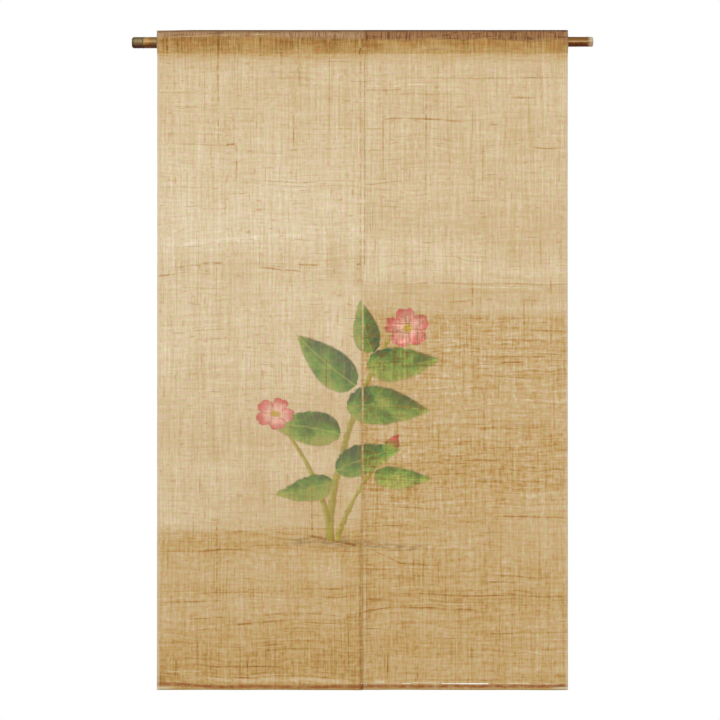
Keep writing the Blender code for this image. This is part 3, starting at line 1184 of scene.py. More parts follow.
def make_painted_spray(name, side, leaf, bloom, stem, streak):
    """The painted pieces that reach a panel: their colour and how strongly they cover the cloth."""
    group, tree, given, out = new_group(name, {}, ["Colour", "Cover"])
    rough = tree.noise(given["Place"], scale=70.0, detail=4.0, roughness=0.65)
    wash = tree.noise(given["Place"], scale=20.0, detail=3.0, roughness=0.6)
    x, y, _ = tree.split(given["Place"])
    shake = (rough - 0.5) * BRUSH_SHAKE
    place = tree.join(x + shake, y - shake)
    dry = tree.ramp_up(tree.patches(x, y, *BRUSH_BRISTLES, detail=3.0), 0.36, 0.62)
    cover = 0.0
    for row in on_panel(GROUND_DABS, side):
        dab = tree.group(
            streak, Place=place, X=row["x"] * MM, Y=row["y"] * MM, Half_length=row["half"] * MM,
            Half_thick=row["thick"] * MM, Slope=row["slope"], Bow=row["bow"] * MM,
        )
        cover = tree.largest(cover, dab["Mask"] * dry * row["cover"])

    # Each piece lies over those before it: its mask, its colour and how strongly it covers
    pieces = []
    for row in on_panel(STEMS, side):
        piece = tree.group(
            stem, Place=place, X=row["x"] * MM, Y=row["y"] * MM, Height=row["height"] * MM,
            Lean=row["lean"] * MM, Bow=row["bow"] * MM, Half_thick=row["thick"] * MM,
        )
        pieces.append((piece["Mask"], stem_shade(tree, piece), STEM_COVER))
    for row in on_panel(LEAVES, side):
        piece = place_leaf(tree, leaf, place, row)
        pieces.append((piece["Mask"], leaf_shade(tree, piece, row, wash), LEAF_COVER))
    for row in on_panel(BUDS, side):
        piece = place_leaf(tree, leaf, place, row)
        pieces.append((piece["Mask"], bud_shade(tree, piece), BUD_COVER))
    for row in on_panel(BLOOMS, side):
        piece = tree.group(
            bloom, Place=place, X=row["x"] * MM, Y=row["y"] * MM, Radius=row["radius"] * MM,
            Turn=row["turn"], Flatness=row["flat"],
        )
        pieces.append((piece["Mask"], bloom_shade(tree, piece, wash), BLOOM_COVER))
    colour = GROUND_GREY
    for mask, shade, strength in pieces:
        colour = tree.mix(mask, colour, shade)
        cover = tree.largest(cover, mask * strength)
    tree.feed(out["Colour"], colour)
    tree.feed(out["Cover"], cover * tree.clamp(rough * 0.6 + 0.72))
    return group


# Dyes, weave and painted shade of the two panels.
# Height above the hem in millimetres, ochre share at the join, ochre share at the outer selvedge.
# 0 is bleached and 1 is raw ochre.
OCHRE = {
    "left": (
        (0, 1.10, 1.07), (14, 0.95, 1.03), (24, 0.90, 1.02), (38, 1.06, 1.02), (146, 0.88, 0.64),
        (187, 0.66, 0.59), (215, 0.82, 0.74), (242, 0.66, 0.51), (290, 0.74, 0.68),
        (312, 0.94, 0.83), (334, 0.92, 0.62), (352, 0.54, 0.25), (364, 0.46, 0.23),
        (435, 0.47, 0.23), (474, 0.30, 0.13), (536, 0.36, 0.33), (666, 0.25, 0.15),
        (728, 0.17, 0.09), (857, 0.16, 0.09), (917, 0.20, 0.17), (945, 0.09, 0.05),
        (985, -0.01, -0.01), (1052, 0.04, -0.04), (1148, 0.15, 0.11), (1206, 0.23, 0.20),
        (1290, 0.26, 0.23), (1330, 0.27, 0.25), (1348, 0.40, 0.37), (1362, 0.80, 0.77),
        (1378, 0.88, 0.85), (1391, 1.32, 1.28),
    ),
    "right": (
        (0, 0.95, 1.00), (14, 0.70, 0.74), (24, 0.78, 0.82), (50, 0.76, 0.76), (90, 0.93, 0.78),
        (165, 0.78, 0.70), (184, 0.93, 0.78), (200, 1.00, 0.81), (222, 0.91, 0.65),
        (245, 0.90, 0.77), (300, 0.88, 0.61), (340, 0.87, 0.52), (378, 0.89, 0.56),
        (412, 0.73, 0.61), (436, 0.85, 0.80), (472, 0.92, 0.79), (530, 0.78, 0.72),
        (580, 0.66, 0.62), (664, 0.64, 0.69), (704, 0.80, 0.72), (796, 0.76, 0.67),
        (818, 0.46, 0.25), (856, 0.33, 0.48), (874, 0.22, 0.29), (900, 0.10, 0.17),
        (955, 0.15, 0.34), (990, 0.29, 0.42), (1070, 0.21, 0.32), (1338, 0.21, 0.32),
        (1362, 0.53, 0.62), (1374, 0.56, 0.65), (1379, 0.94, 1.03),
    ),
}
OCHRE_LOW, OCHRE_HIGH = -0.2, 1.5
OCHRE_MORE = 0.05

# Thick wefts: across from and to, height from and to, half thickness (all in millimetres above the
# hem and from the middle), darkness, redness. A negative darkness is a bleached weft.
WEFTS = {
    "left": (
        (-425, -340, 38.5, 36.0, 1.3, -0.9, 0.0), (-432, -388, 33.0, 31.0, 1.8, 0.9, 0.6),
        (-440, -402, 26.0, 26.0, 9.0, 0.4, 0.4), (-372, -10, 22.0, 21.0, 6.0, -0.8, 0.0),
        (-336, -228, 27.5, 27.5, 1.6, 0.9, 0.7),
        (-338, -150, 48.5, 53.0, 1.6, 0.9, 0.8), (-275, -112, 27.0, 37.0, 1.6, -0.8, 0.0),
        (-160, -12, 33.0, 25.0, 1.6, 0.6, 0.4), (-350, -290, 74.0, 76.0, 1.5, 0.3, 0.3),
        (-250, -90, 84.0, 87.0, 1.4, 0.3, 0.2), (-420, -330, 104.0, 106.0, 1.4, 0.3, 0.0),
        (-156, -90, 124.0, 125.0, 1.6, 0.5, 0.2), (-366, -322, 130.0, 130.0, 1.5, 0.6, 0.5),
        (-273, -236, 141.0, 142.5, 2.2, 1.2, 0.7), (-236, -165, 144.0, 150.0, 1.8, 0.8, 0.7),
        (-120, -12, 144.0, 143.0, 1.8, 0.7, 0.4), (-386, -290, 153.5, 154.0, 1.3, 0.8, 0.7),
        (-210, -166, 160.0, 163.5, 2.0, 0.8, 0.9), (-166, -12, 163.5, 158.5, 1.8, 0.7, 0.8),
        (-440, -294, 189.5, 188.5, 2.2, 0.7, 0.5), (-360, -198, 207.5, 207.5, 1.7, 0.7, 0.8),
        (-134, -38, 217.5, 220.0, 1.8, 0.8, 0.5), (-90, -12, 201.0, 203.0, 1.6, 0.5, 0.3),
        (-440, -240, 297.0, 298.0, 2.2, 0.7, 0.2), (-440, -340, 318.0, 319.0, 2.0, 0.5, 0.3),
        (-272, -60, 306.5, 307.5, 2.0, 0.6, 0.4), (-115, -48, 331.0, 322.0, 3.6, 1.0, 0.3),
        (-50, -12, 321.0, 311.5, 2.6, 1.4, 0.4), (-440, -225, 334.0, 340.0, 2.8, 0.5, 0.3),
        (-230, -12, 343.0, 349.0, 2.4, 0.5, 0.4), (-326, -310, 365.0, 365.0, 2.0, 0.6, 0.2),
        (-322, -292, 836.0, 840.0, 1.8, 0.5, 0.1), (-370, -260, 770.0, 772.0, 1.5, 0.25, 0.2),
        (-440, -400, 890.0, 889.0, 2.0, 1.0, 0.9), (-224, -134, 903.5, 900.0, 1.9, 1.0, 1.0),
        (-342, -302, 912.5, 913.0, 2.6, 1.1, 1.0), (-140, -94, 913.5, 914.0, 1.8, 0.8, 1.0),
        (-400, -346, 905.0, 908.0, 2.0, 0.6, 0.6), (-430, -130, 956.0, 975.0, 5.0, -0.35, 0.0),
        (-215, -12, 1089.0, 1091.0, 1.5, 0.5, 0.5), (-198, -12, 1081.5, 1080.0, 1.4, 0.4, 0.4),
        (-164, -66, 1158.0, 1159.0, 1.8, 0.7, 1.0), (-400, -290, 1167.0, 1167.0, 1.5, 0.5, 0.7),
        (-292, -274, 1167.0, 1168.0, 2.2, 1.3, 0.8), (-402, -362, 1248.0, 1248.5, 1.6, 0.6, 0.5),
        (-272, -234, 1246.0, 1246.0, 1.5, 0.5, 0.5), (-440, -360, 1280.0, 1281.0, 1.4, 0.5, 0.5),
        (-140, -86, 1295.0, 1296.0, 1.5, 0.5, 0.4), (-188, -108, 1308.0, 1309.0, 1.4, 0.45, 0.4),
        (-92, -12, 1347.0, 1348.0, 1.4, 0.6, 0.5), (-410, -140, 1402.0, 1402.0, 1.6, -1.2, 0.0),
    ),
    "right": (
        (8, 52, 17.5, 17.5, 5.2, -0.9, 0.0), (104, 158, 14.0, 14.0, 1.4, -1.4, 0.0),
        (286, 438, 14.0, 13.6, 1.4, -1.3, 0.0), (60, 400, 20.0, 21.0, 1.8, 0.3, 0.8),
        (40, 420, 28.0, 27.0, 1.6, -0.3, 0.0),
        (134, 188, 65.5, 66.0, 1.6, -0.5, 0.0), (144, 210, 76.5, 76.5, 2.0, 0.45, 0.0),
        (270, 338, 124.0, 123.0, 1.6, 0.6, 0.6), (2, 50, 129.0, 129.5, 1.7, 0.7, 0.6),
        (60, 190, 141.0, 143.0, 1.5, 0.35, 0.4), (0, 60, 169.0, 173.5, 1.9, 0.9, 1.0),
        (60, 190, 173.5, 172.5, 1.9, 0.9, 1.0), (188, 248, 172.5, 170.5, 1.7, 0.8, 0.8),
        (70, 250, 182.5, 182.0, 1.6, -0.6, 0.0), (-2, 60, 194.5, 192.5, 4.2, 0.6, 0.9),
        (190, 438, 200.0, 201.5, 1.8, 0.7, 0.9), (60, 190, 205.0, 203.0, 1.6, 0.6, 0.7),
        (268, 318, 234.5, 234.0, 1.5, -0.8, 0.0), (270, 330, 231.5, 231.0, 1.6, 0.9, 0.4),
        (284, 422, 243.5, 243.0, 1.7, 0.6, 0.6), (70, 124, 241.5, 241.5, 1.6, 0.7, 0.5),
        (4, 70, 257.5, 257.5, 1.6, 0.5, 0.6), (80, 168, 271.5, 266.0, 2.2, 0.7, 0.3),
        (16, 82, 302.5, 271.5, 2.4, 0.6, 0.3), (10, 60, 281.0, 276.0, 12.0, -0.25, 0.0),
        (180, 300, 300.0, 298.0, 1.6, 0.35, 0.6), (-2, 82, 350.0, 349.0, 2.2, 0.8, 0.2),
        (216, 252, 362.5, 362.0, 1.7, 0.6, 0.5), (284, 360, 371.0, 373.0, 1.8, 0.8, 0.9),
        (360, 434, 373.0, 368.0, 1.8, 0.8, 0.9), (250, 440, 404.0, 408.0, 1.8, 0.3, 0.5),
        (210, 400, 447.0, 446.0, 1.9, 0.45, 0.8), (240, 438, 466.0, 470.0, 2.4, 0.5, 0.8),
        (180, 420, 489.0, 490.0, 1.8, 0.4, 0.6), (260, 438, 520.0, 524.0, 1.8, 0.45, 0.7),
        (220, 400, 560.0, 562.0, 1.5, 0.35, 0.5), (166, 252, 625.0, 626.0, 1.6, 0.4, 0.4),
        (306, 392, 638.0, 637.0, 1.6, 0.5, 0.5), (248, 356, 672.5, 667.5, 1.4, 1.0, 0.3),
        (294, 340, 700.5, 700.5, 2.2, 1.2, 1.0), (248, 402, 714.0, 713.5, 1.8, 0.9, 1.0),
        (296, 330, 743.0, 743.0, 1.8, 0.7, 0.7), (252, 438, 752.0, 750.0, 1.8, 0.5, 0.8),
        (348, 436, 769.5, 770.5, 1.6, 0.8, 0.6), (146, 380, 797.5, 797.0, 2.2, 0.6, 0.8),
        (166, 288, 836.0, 835.0, 1.8, 0.6, 0.6), (342, 388, 835.0, 836.0, 1.8, 0.7, 0.5),
        (70, 134, 851.5, 850.0, 1.6, 0.6, 0.4), (210, 380, 863.5, 862.5, 1.6, -0.5, 0.0),
        (252, 278, 850.0, 850.5, 1.6, 0.8, 0.4), (50, 440, 868.5, 872.0, 1.7, 0.6, 0.7),
        (120, 240, 930.0, 931.0, 1.4, 0.3, 0.4), (6, 64, 1072.0, 1074.0, 1.4, 0.5, 0.3),
        (6, 102, 1084.0, 1095.5, 1.6, 0.7, 0.5), (360, 440, 1161.5, 1162.5, 1.9, 0.9, 0.8),
        (6, 42, 1156.0, 1157.0, 1.5, 0.6, 0.3), (250, 340, 1170.0, 1172.0, 1.5, 0.4, 0.7),
        (42, 210, 1221.5, 1222.0, 2.0, 0.8, 1.0), (6, 46, 1204.0, 1203.0, 1.5, 0.5, 0.4),
        (320, 370, 1269.0, 1269.0, 2.2, 0.9, 1.0), (6, 86, 1285.0, 1288.0, 1.5, 0.8, 0.4),
        (8, 150, 1293.5, 1297.5, 1.3, -0.8, 0.0), (6, 250, 1277.0, 1276.0, 1.4, 0.35, 0.4),
        (80, 434, 1310.5, 1311.0, 1.5, 0.5, 0.9),
    ),
}

# Dark warps: across, height from and to, half thickness, darkness, redness
WARPS = {
    "left": (
        (-418, 1360, 1414, 1.6, 1.0, 0.6), (-394, 1370, 1414, 1.6, 0.9, 0.4),
        (-340, 1240, 1400, 1.3, 0.5, 0.4),
        (-309, 1150, 1414, 1.5, 0.9, 0.4), (-270, 1095, 1170, 1.6, 0.6, 0.6),
        (-174, 1300, 1414, 1.5, 0.7, 0.6),
        (-148, 1165, 1235, 1.5, 0.8, 0.3), (-134, 1170, 1360, 1.2, 0.5, 0.6),
        (-72, 1200, 1414, 1.4, 0.6, 0.7),
        (-312, 187, 380, 1.5, 0.7, 0.3), (-109, 395, 470, 1.5, 0.9, 0.3),
        (-109, 320, 395, 1.6, 1.1, 0.4),
        (-30, 40, 140, 1.5, 0.6, 0.3), (-60, 30, 150, 1.5, 0.4, 0.6),
        (-352, 820, 1010, 1.2, 0.4, 0.2),
        (-220, 840, 960, 1.2, 0.5, 0.3), (-246, 20, 70, 1.8, 0.7, 0.5),
        (-400, 30, 60, 1.8, 0.5, 0.6),
    ),
    "right": (
        (136, 1150, 1300, 1.4, 0.9, 0.5), (136, 1060, 1110, 1.4, 0.6, 0.5),
        (44, 1090, 1240, 1.8, 0.5, 0.9),
        (257, 1080, 1180, 1.6, 0.6, 0.5), (174, 1305, 1350, 1.5, 0.5, 0.3),
        (306, 1170, 1240, 1.6, 0.4, 0.8),
        (238, 1040, 1150, 1.4, 0.5, 0.3), (384, 1260, 1320, 1.5, 0.5, 0.4),
        (236, 820, 880, 1.4, 0.9, 0.4),
        (404, 850, 890, 1.5, 0.8, 0.2), (345, 742, 830, 1.5, 0.8, 0.3),
        (328, 780, 785, 1.5, 0.8, 0.3),
        (54, 30, 78, 1.5, 0.7, 0.2), (118, 20, 60, 1.4, 0.7, 0.2),
        (150, 225, 320, 1.3, 0.5, 0.3),
        (136, 150, 240, 1.4, 0.5, 0.6), (294, 20, 190, 1.6, 0.4, 0.8),
        (260, 580, 640, 1.4, 0.5, 0.5),
    ),
}
WEFT_LAYERS = 4
WARP_LAYERS = 2
WARP_DARKER = 1.4
WARP_REDDER = 0.6
YARN_SPREAD = 1.35
YARN_REACH = 1.2
WEFT_SWAY = 20.0 * MM
THICK_WEFT_SWAY = 15.0 * MM
ACROSS_RANGE = (-0.45, 0.45)
HEIGHT_RANGE = (0.0, 1.5)
HALF_RANGE = (0.0, 0.25)
THICK_RANGE = (0.0, 0.02)
SLOPE_RANGE = (-1.0, 1.0)
DARK_RANGE = (-2.0, 2.0)

WHITE = (1.0, 1.0, 1.0, 1.0)
CLOTH_TONES = (
    (0.0, from_srgb(245, 236, 218)),
    (0.23, from_srgb(222, 203, 174)),
    (0.40, from_srgb(206, 181, 144)),
    (0.615, from_srgb(194, 160, 106)),
    (0.75, from_srgb(178, 140, 84)),
    (1.0, from_srgb(138, 94, 46)),
)
TONE_LOW, TONE_HIGH = -0.6, 2.0
SLUB_BROWN = from_srgb(122, 88, 52)
STAIN_ORANGE = from_srgb(184, 128, 68)
WEFT_RED = from_srgb(164, 100, 50)
GREENISH = from_srgb(250, 255, 241)
PINKISH = from_srgb(255, 249, 249)
TUNNEL_DEEPER = {"left": 0.27, "right": 0.35}
TUNNEL_BAND = {"left": from_srgb(182, 149, 115), "right": from_srgb(156, 115, 81)}
TUNNEL_BAND_EDGE = {"left": 1399.0 * MM, "right": 1392.8 * MM}
TUNNEL_BAND_SWAY = 16.0 * MM
TUNNEL_TOP = {"left": from_srgb(152, 122, 90), "right": from_srgb(154, 108, 76)}
TUNNEL_SHADE = {"left": from_srgb(200, 182, 174), "right": from_srgb(172, 150, 140)}
TUNNEL_ORANGE = from_srgb(188, 128, 66)
# Painted shade along the folded top crease, on each panel
CREASE_SHADE = {"left": from_srgb(100, 60, 16), "right": from_srgb(56, 20, 6)}
# Brown for the dark line slanting off the tunnels' join, and for painted shade in the gap where the
# tunnels butt and at the foot of the slit
JOIN_DARK_AND_SHADE = from_srgb(108, 64, 26)
# A short dark fold at the tunnel's join, above the seam: its place at the seam and its lean
SEAM_JOG_X = -6.4 * MM
SEAM_JOG_LEAN = 0.16
SELVEDGE_DARKER = {"left": 0.10, "right": 0.26}
SELVEDGE_GREY = from_srgb(208, 197, 174)
HEM_LINE = from_srgb(150, 92, 50)
HEM_EDGE = from_srgb(146, 122, 60)
HEM_END = from_srgb(206, 192, 160)


def encode(value, limits):
    low, high = limits
    return min(max((value - low) / (high - low), 0.0), 1.0)


def decode(share, limits):
    low, high = limits
    return low + share * (high - low)


def yarn_row(start, end, first, last, thick, dark, red):
    """One thick yarn as a row: where its middle lies along and across it, and its form, in metres."""
    return {
        "along": (start + end) / 2.0 * MM,
        "across": (first + last) / 2.0 * MM,
        "half": abs(end - start) / 2.0 * YARN_REACH * MM,
        "thick": thick * YARN_SPREAD * MM,
        "slope": (last - first) / (end - start),
        "dark": dark,
        "red": red,
    }


def spread_layers(rows, count):
    """Deals yarns into layers, in order across, so that neighbours in a layer lie well apart."""
    ordered = sorted(rows, key=lambda row: row["across"])
    return [ordered[i::count] for i in range(count)]


def look_up_yarn(tree, across, limits, rows):
    """The row nearest to a place across the yarns, as the streak's inputs."""
    low, high = limits
    along_limits = HEIGHT_RANGE if limits == ACROSS_RANGE else ACROSS_RANGE
    place_stops = []
    form_stops = []
    for i, row in enumerate(rows):
        start = 0.0
        if i:
            middle = (row["across"] + rows[i - 1]["across"]) / 2.0
            start = (middle - low) / (high - low)
        colour = (
            encode(row["along"], along_limits),
            encode(row["across"], limits),
            encode(row["half"], HALF_RANGE),
            encode(row["thick"], THICK_RANGE),
        )
        place_stops.append((start, colour))
        form = (encode(row["slope"], SLOPE_RANGE), encode(row["dark"], DARK_RANGE), row["red"], 1.0)
        form_stops.append((start, form))
    share = (across - low) / (high - low)
    place, place_alpha = tree.ramp_parts(share, place_stops, "CONSTANT")
    form, _ = tree.ramp_parts(share, form_stops, "CONSTANT")
    return {
        "X": decode(place[0], along_limits),
        "Y": decode(place[1], limits),
        "Half_length": decode(place[2], HALF_RANGE),
        "Half_thick": decode(place_alpha, THICK_RANGE),
        "Slope": decode(form[0], SLOPE_RANGE),
    }, decode(form[1], DARK_RANGE), form[2]


def make_thick_yarns(name, side, streak):
    """A panel's thick wefts and dark warps: how much they darken the cloth, and how red they are."""
    group, tree, given, out = new_group(name, {}, ["Tone", "Red"])
    x, y, _ = tree.split(given["Place"])
    turned = tree.join(y, x)
    wefts = [yarn_row(*row) for row in WEFTS[side]]
    warps = [
        yarn_row(low, high, across, across, thick, dark * WARP_DARKER, red * WARP_REDDER)
        for across, low, high, thick, dark, red in WARPS[side]
    ]
    layers = [(given["Place"], y, HEIGHT_RANGE, rows) for rows in spread_layers(wefts, WEFT_LAYERS)]
    layers += [(turned, x, ACROSS_RANGE, rows) for rows in spread_layers(warps, WARP_LAYERS)]
    total = 0.0
    reddest = 0.0
    for place, across, limits, rows in layers:
        inputs, dark, red = look_up_yarn(tree, across, limits, rows)
        mask = tree.group(streak, Place=place, **inputs)["Mask"]
        total += mask * dark
        reddest = tree.largest(reddest, mask * (red * dark))
    patchy = tree.patches(x, y, 38.0, 90.0, detail=3.0)
    strength = tree.ramp_up(patchy, 0.25, 0.60)
    tree.feed(out["Tone"], total * strength)
    tree.feed(out["Red"], tree.clamp(reddest * strength))
    return group


class Hemp:
    """Yarn-long tones and slubs at one place on the cloth, by patches per metre across and up."""

    def __init__(self, tree, place, yarn_lines, slubs):
        self.tree = tree
        self.place = place
        self.yarn_lines = yarn_lines
        self.slubs = slubs

    def lines(self, across, up, seed):
        given = {"Per_metre_X": across, "Per_metre_Y": up, "Seed": seed}
        return self.tree.group(self.yarn_lines, Place=self.place, **given)["Tone"]

    def slub(self, across, up, seed, rarity):
        given = {"Per_metre_X": across, "Per_metre_Y": up, "Seed": seed, "Rarity": rarity}
        return self.tree.group(self.slubs, Place=self.place, **given)["Mask"]


def warp_tone(hemp, streaky):
    """Uneven upright yarns."""
    tone = hemp.lines(250.0, 8.0, 3.1) * 0.14
    tone += hemp.lines(95.0, 4.0, 8.7) * 0.08
    tone += hemp.slub(260.0, 6.0, 131.1, 0.62) * 0.2
    return tone * (streaky * 0.35 + 1.0)


def weft_tone(hemp, streaky, strokes):
    """Uneven level yarns, with darker strokes where the dye is streaky."""
    tone = hemp.lines(12.0, 250.0, 21.3) * 0.09
    tone += hemp.lines(5.0, 115.0, 34.9) * 0.06
    tone += hemp.slub(9.0, 250.0, 149.5, 0.62) * 0.18
    tone += (strokes - 0.35) * streaky * 0.11
    tone += hemp.lines(3.4, 130.0, 47.2) * streaky * 0.05
    return tone * (streaky * 0.45 + 1.0)


def make_hemp_tone(yarn_lines, slubs, plain_weave):
    """Bare hemp: its tone from bleached to dark, its slubs and its relief."""
    group, tree, given, out = new_group(
        "hemp_tone",
        {"Ochre": 0.3, "Streaky": 0.0, "Contrast": 1.0, "Red": 0.0},
        ["Colour", "Height", "Yarn"],
    )
    place = given["Place"]
    streaky = given["Streaky"]
    hemp = Hemp(tree, place, yarn_lines, slubs)
    weave = tree.group(plain_weave, Place=place)
    strokes = tree.largest(hemp.slub(15.0, 210.0, 47.2, 0.35), hemp.slub(30.0, 150.0, 67.2, 0.35) * 0.7)
    dashes = hemp.lines(200.0, 70.0, 91.3) + hemp.lines(75.0, 190.0, 17.9) * 0.7
    dashes *= streaky * 0.09 + 0.1
    stain = tree.largest(hemp.slub(42.0, 150.0, 101.7, 0.80), hemp.slub(170.0, 26.0, 113.9, 0.82))
    yarn = warp_tone(hemp, streaky) + weft_tone(hemp, streaky, strokes) + dashes
    # The weave's gaps add painted shade, and stains add their own tone
    yarn += weave["Gap_shade"] * 0.1 + stain * 0.17
    cloud = tree.noise(place, scale=9.0, detail=3.0)
    tone = given["Ochre"] + (cloud - 0.5) * 0.35 + yarn * given["Contrast"]
    colour = tree.ramp((tone - TONE_LOW) / (TONE_HIGH - TONE_LOW), CLOTH_TONES)

    x, y, _ = tree.split(place)
    hue = tree.ramp_up(tree.patches(x, y, 60.0, 150.0), 0.35, 0.65)
    colour = tree.mix(1.0, colour, tree.mix(hue, GREENISH, PINKISH), "MULTIPLY")
    stain = tree.largest(stain, strokes * (streaky * 0.45))
    dark = tree.largest(hemp.slub(230.0, 9.0, 55.5, 0.95), hemp.slub(11.0, 240.0, 61.7, 0.95))
    pale = tree.largest(hemp.slub(220.0, 14.0, 71.9, 1.0), hemp.slub(16.0, 230.0, 83.3, 1.0))
    colour = tree.mix(stain * 0.28, colour, STAIN_ORANGE)
    colour = tree.mix(given["Red"] * 0.42, colour, WEFT_RED)
    colour = tree.mix(dark * 0.32, colour, SLUB_BROWN)
    colour = tree.mix(pale * 0.16, colour, CLOTH_TONES[0][1])
    tree.feed(out["Colour"], colour)
    tree.feed(out["Height"], weave["Height"] + dark * 1.2)
    tree.feed(out["Yarn"], yarn + dark * 0.8)
    return group


def ochre_ramp(tree, x, height, side):
    """The panel's dye strength by height above the hem and by place across the panel."""
    span = OCHRE_HIGH - OCHRE_LOW
    stops = []
    for millimetres, inner, outer in OCHRE[side]:
        shares = [(share - OCHRE_LOW) / span for share in (inner, outer)]
        stops.append((millimetres * MM / DROP, (*shares, 0.0, 1.0)))
    parts, _ = tree.ramp_parts(height / DROP, stops, "LINEAR")
    across = abs(x) / HALF_WIDTH
    change = (parts[1] - parts[0]) * across
    return OCHRE_LOW + (parts[0] + change) * span


def tunnel_deeper(tree, x, y, side):
    """How much deeper the doubled tunnel's tone is, blotch by blotch and thread by thread."""
    blotch = (tree.patches(x, y, 22.0, 50.0) - 0.5) * 0.8
    threads = (tree.patches(x, y, 330.0, 11.0) - 0.5) * 1.1
    return TUNNEL_DEEPER[side] + blotch + threads


def paint_over(tree, colour, hemp, spray, x, side, paint):
    """The cloth's colour with the spray on it, thinner and darker on dark yarns."""
    cover = spray["Cover"] * paint
    if side == "right":
        cover *= tree.ramp_up(x, 1.6 * MM, 2.8 * MM)
    shade = tree.grey(0.98 - hemp["Yarn"] * 0.8)
    painted = tree.mix(1.0, spray["Colour"], shade, "MULTIPLY")
    thin = 0.95 - hemp["Yarn"] * 0.35
    return tree.mix(tree.clamp(cover * thin), colour, painted)


def make_hemp_cloth(name, side, groups, paint):
    """A panel's cloth on one of its faces. paint is how strongly the spray shows there."""
    material, tree, shader = new_material(name)
    flat = tree.result(tree.add("ShaderNodeUVMap", uv_map=CLOTH_MAP))
    place = tree.group(groups["yarn_drift"], Place=flat, Sway=WEFT_SWAY)["Place"]
    steady = tree.group(groups["yarn_drift"], Place=flat, Sway=THICK_WEFT_SWAY)["Place"]
    x, y, _ = tree.split(flat)
    drift_y = tree.split(steady)[1]
    yarns = tree.group(groups["yarns_" + side], Place=steady)
    ochre = ochre_ramp(tree, x, drift_y, side) + yarns["Tone"] * 0.7
    streaky = tree.ramp_up(ochre, 0.35, 0.8)
    if side == "right":
        zone = tree.ramp_up(y, 330.0 * MM, 430.0 * MM) * tree.ramp_up(y, 840.0 * MM, 790.0 * MM)
        streaky += zone * (streaky * 0.6 + 0.1)
    doubled = tree.ramp_up(y, SEAM_HEIGHT - 0.8 * MM, SEAM_HEIGHT + 0.8 * MM)
    streaky *= 1.0 - doubled * 0.75
    ochre = ochre + OCHRE_MORE + doubled * tunnel_deeper(tree, x, y, side)
    # The edge lines, painted shade at the slit among them, deepen the tone
    ochre += edge_lines(tree, x, y, side)
    hemp = tree.group(
        groups["hemp_tone"], Place=place, Ochre=ochre, Streaky=streaky,
        Contrast=doubled * 0.2 + 0.96, Red=yarns["Red"],
    )
    colour = hemp["Colour"]
    if paint:
        spray = tree.group(groups["spray_" + side], Place=flat)
        colour = paint_over(tree, colour, hemp, spray, x, side, paint)
    bleached = tree.clamp(yarns["Tone"] * -0.9)
    colour = add_tunnel_band_and_shade(tree, colour, x, y, drift_y, bleached, side)
    colour = add_hem_lines(tree, colour, x, y, drift_y, side)
    edge = tree.ramp_up(abs(x), HALF_WIDTH - 7.0 * MM, HALF_WIDTH - 2.0 * MM)
    colour = tree.mix(edge * (0.42 - doubled * 0.28), colour, SELVEDGE_GREY)
    rough = tree.noise(place, scale=260.0, detail=1.0)
    tree.feed(shader.inputs["Base Color"], colour)
    tree.feed(shader.inputs["Roughness"], rough * 0.2 + 0.78)
    tree.feed(shader.inputs["Normal"], tree.bump(hemp["Height"], 0.35, 0.35 * MM))
    shader.inputs["Specular IOR Level"].default_value = 0.04
    return material


def edge_lines(tree, x, y, side):
    """Darker selvedges, the two sewn lines of the join, and lines beside the slit's free edges: painted
    shade along the left panel's edge, and lines on the right panel.
    """
    outer = tree.ramp_up(abs(x), HALF_WIDTH - 5.0 * MM, HALF_WIDTH - 1.5 * MM)
    total = outer * SELVEDGE_DARKER[side]
    broken = tree.ramp_up(tree.noise(tree.join(x, y * 55.0), detail=2.0), 0.35, 0.62)
    joined = tree.ramp_up(y, SLIT_HEIGHT - 4.0 * MM, SLIT_HEIGHT + 4.0 * MM)
    free = 1.0 - joined
    joined *= tree.ramp_up(y, SEAM_HEIGHT + 1.0 * MM, SEAM_HEIGHT - 3.0 * MM)
    for line, half, strength in JOIN_LINES:
        total += tree.near(x, line * MM, half * MM, 0.5 * MM) * (joined * broken) * strength
    if side == "left":
        # Painted shade along the left panel's free edge, where it stands in front of the right panel;
        # stronger towards the hem
        inner = tree.near(x, LEFT_EDGE_SHADE_X, 5.2 * MM, 1.2 * MM)
        low = tree.ramp_up(y, 420.0 * MM, 250.0 * MM)
        strength = low * 0.24 + 0.16
        total += inner * free * strength
    else:
        beside = tree.near(x, RIGHT_EDGE_X, 4.6 * MM, 1.0 * MM)
        change = tree.noise(tree.join(0.7, y * 14.0), detail=2.0) * 1.1 - 0.66
        total += beside * free * change
        second = tree.near(x, RIGHT_SECOND_X, 2.0 * MM, 0.5 * MM)
        total += second * free * broken * 0.22
    return total


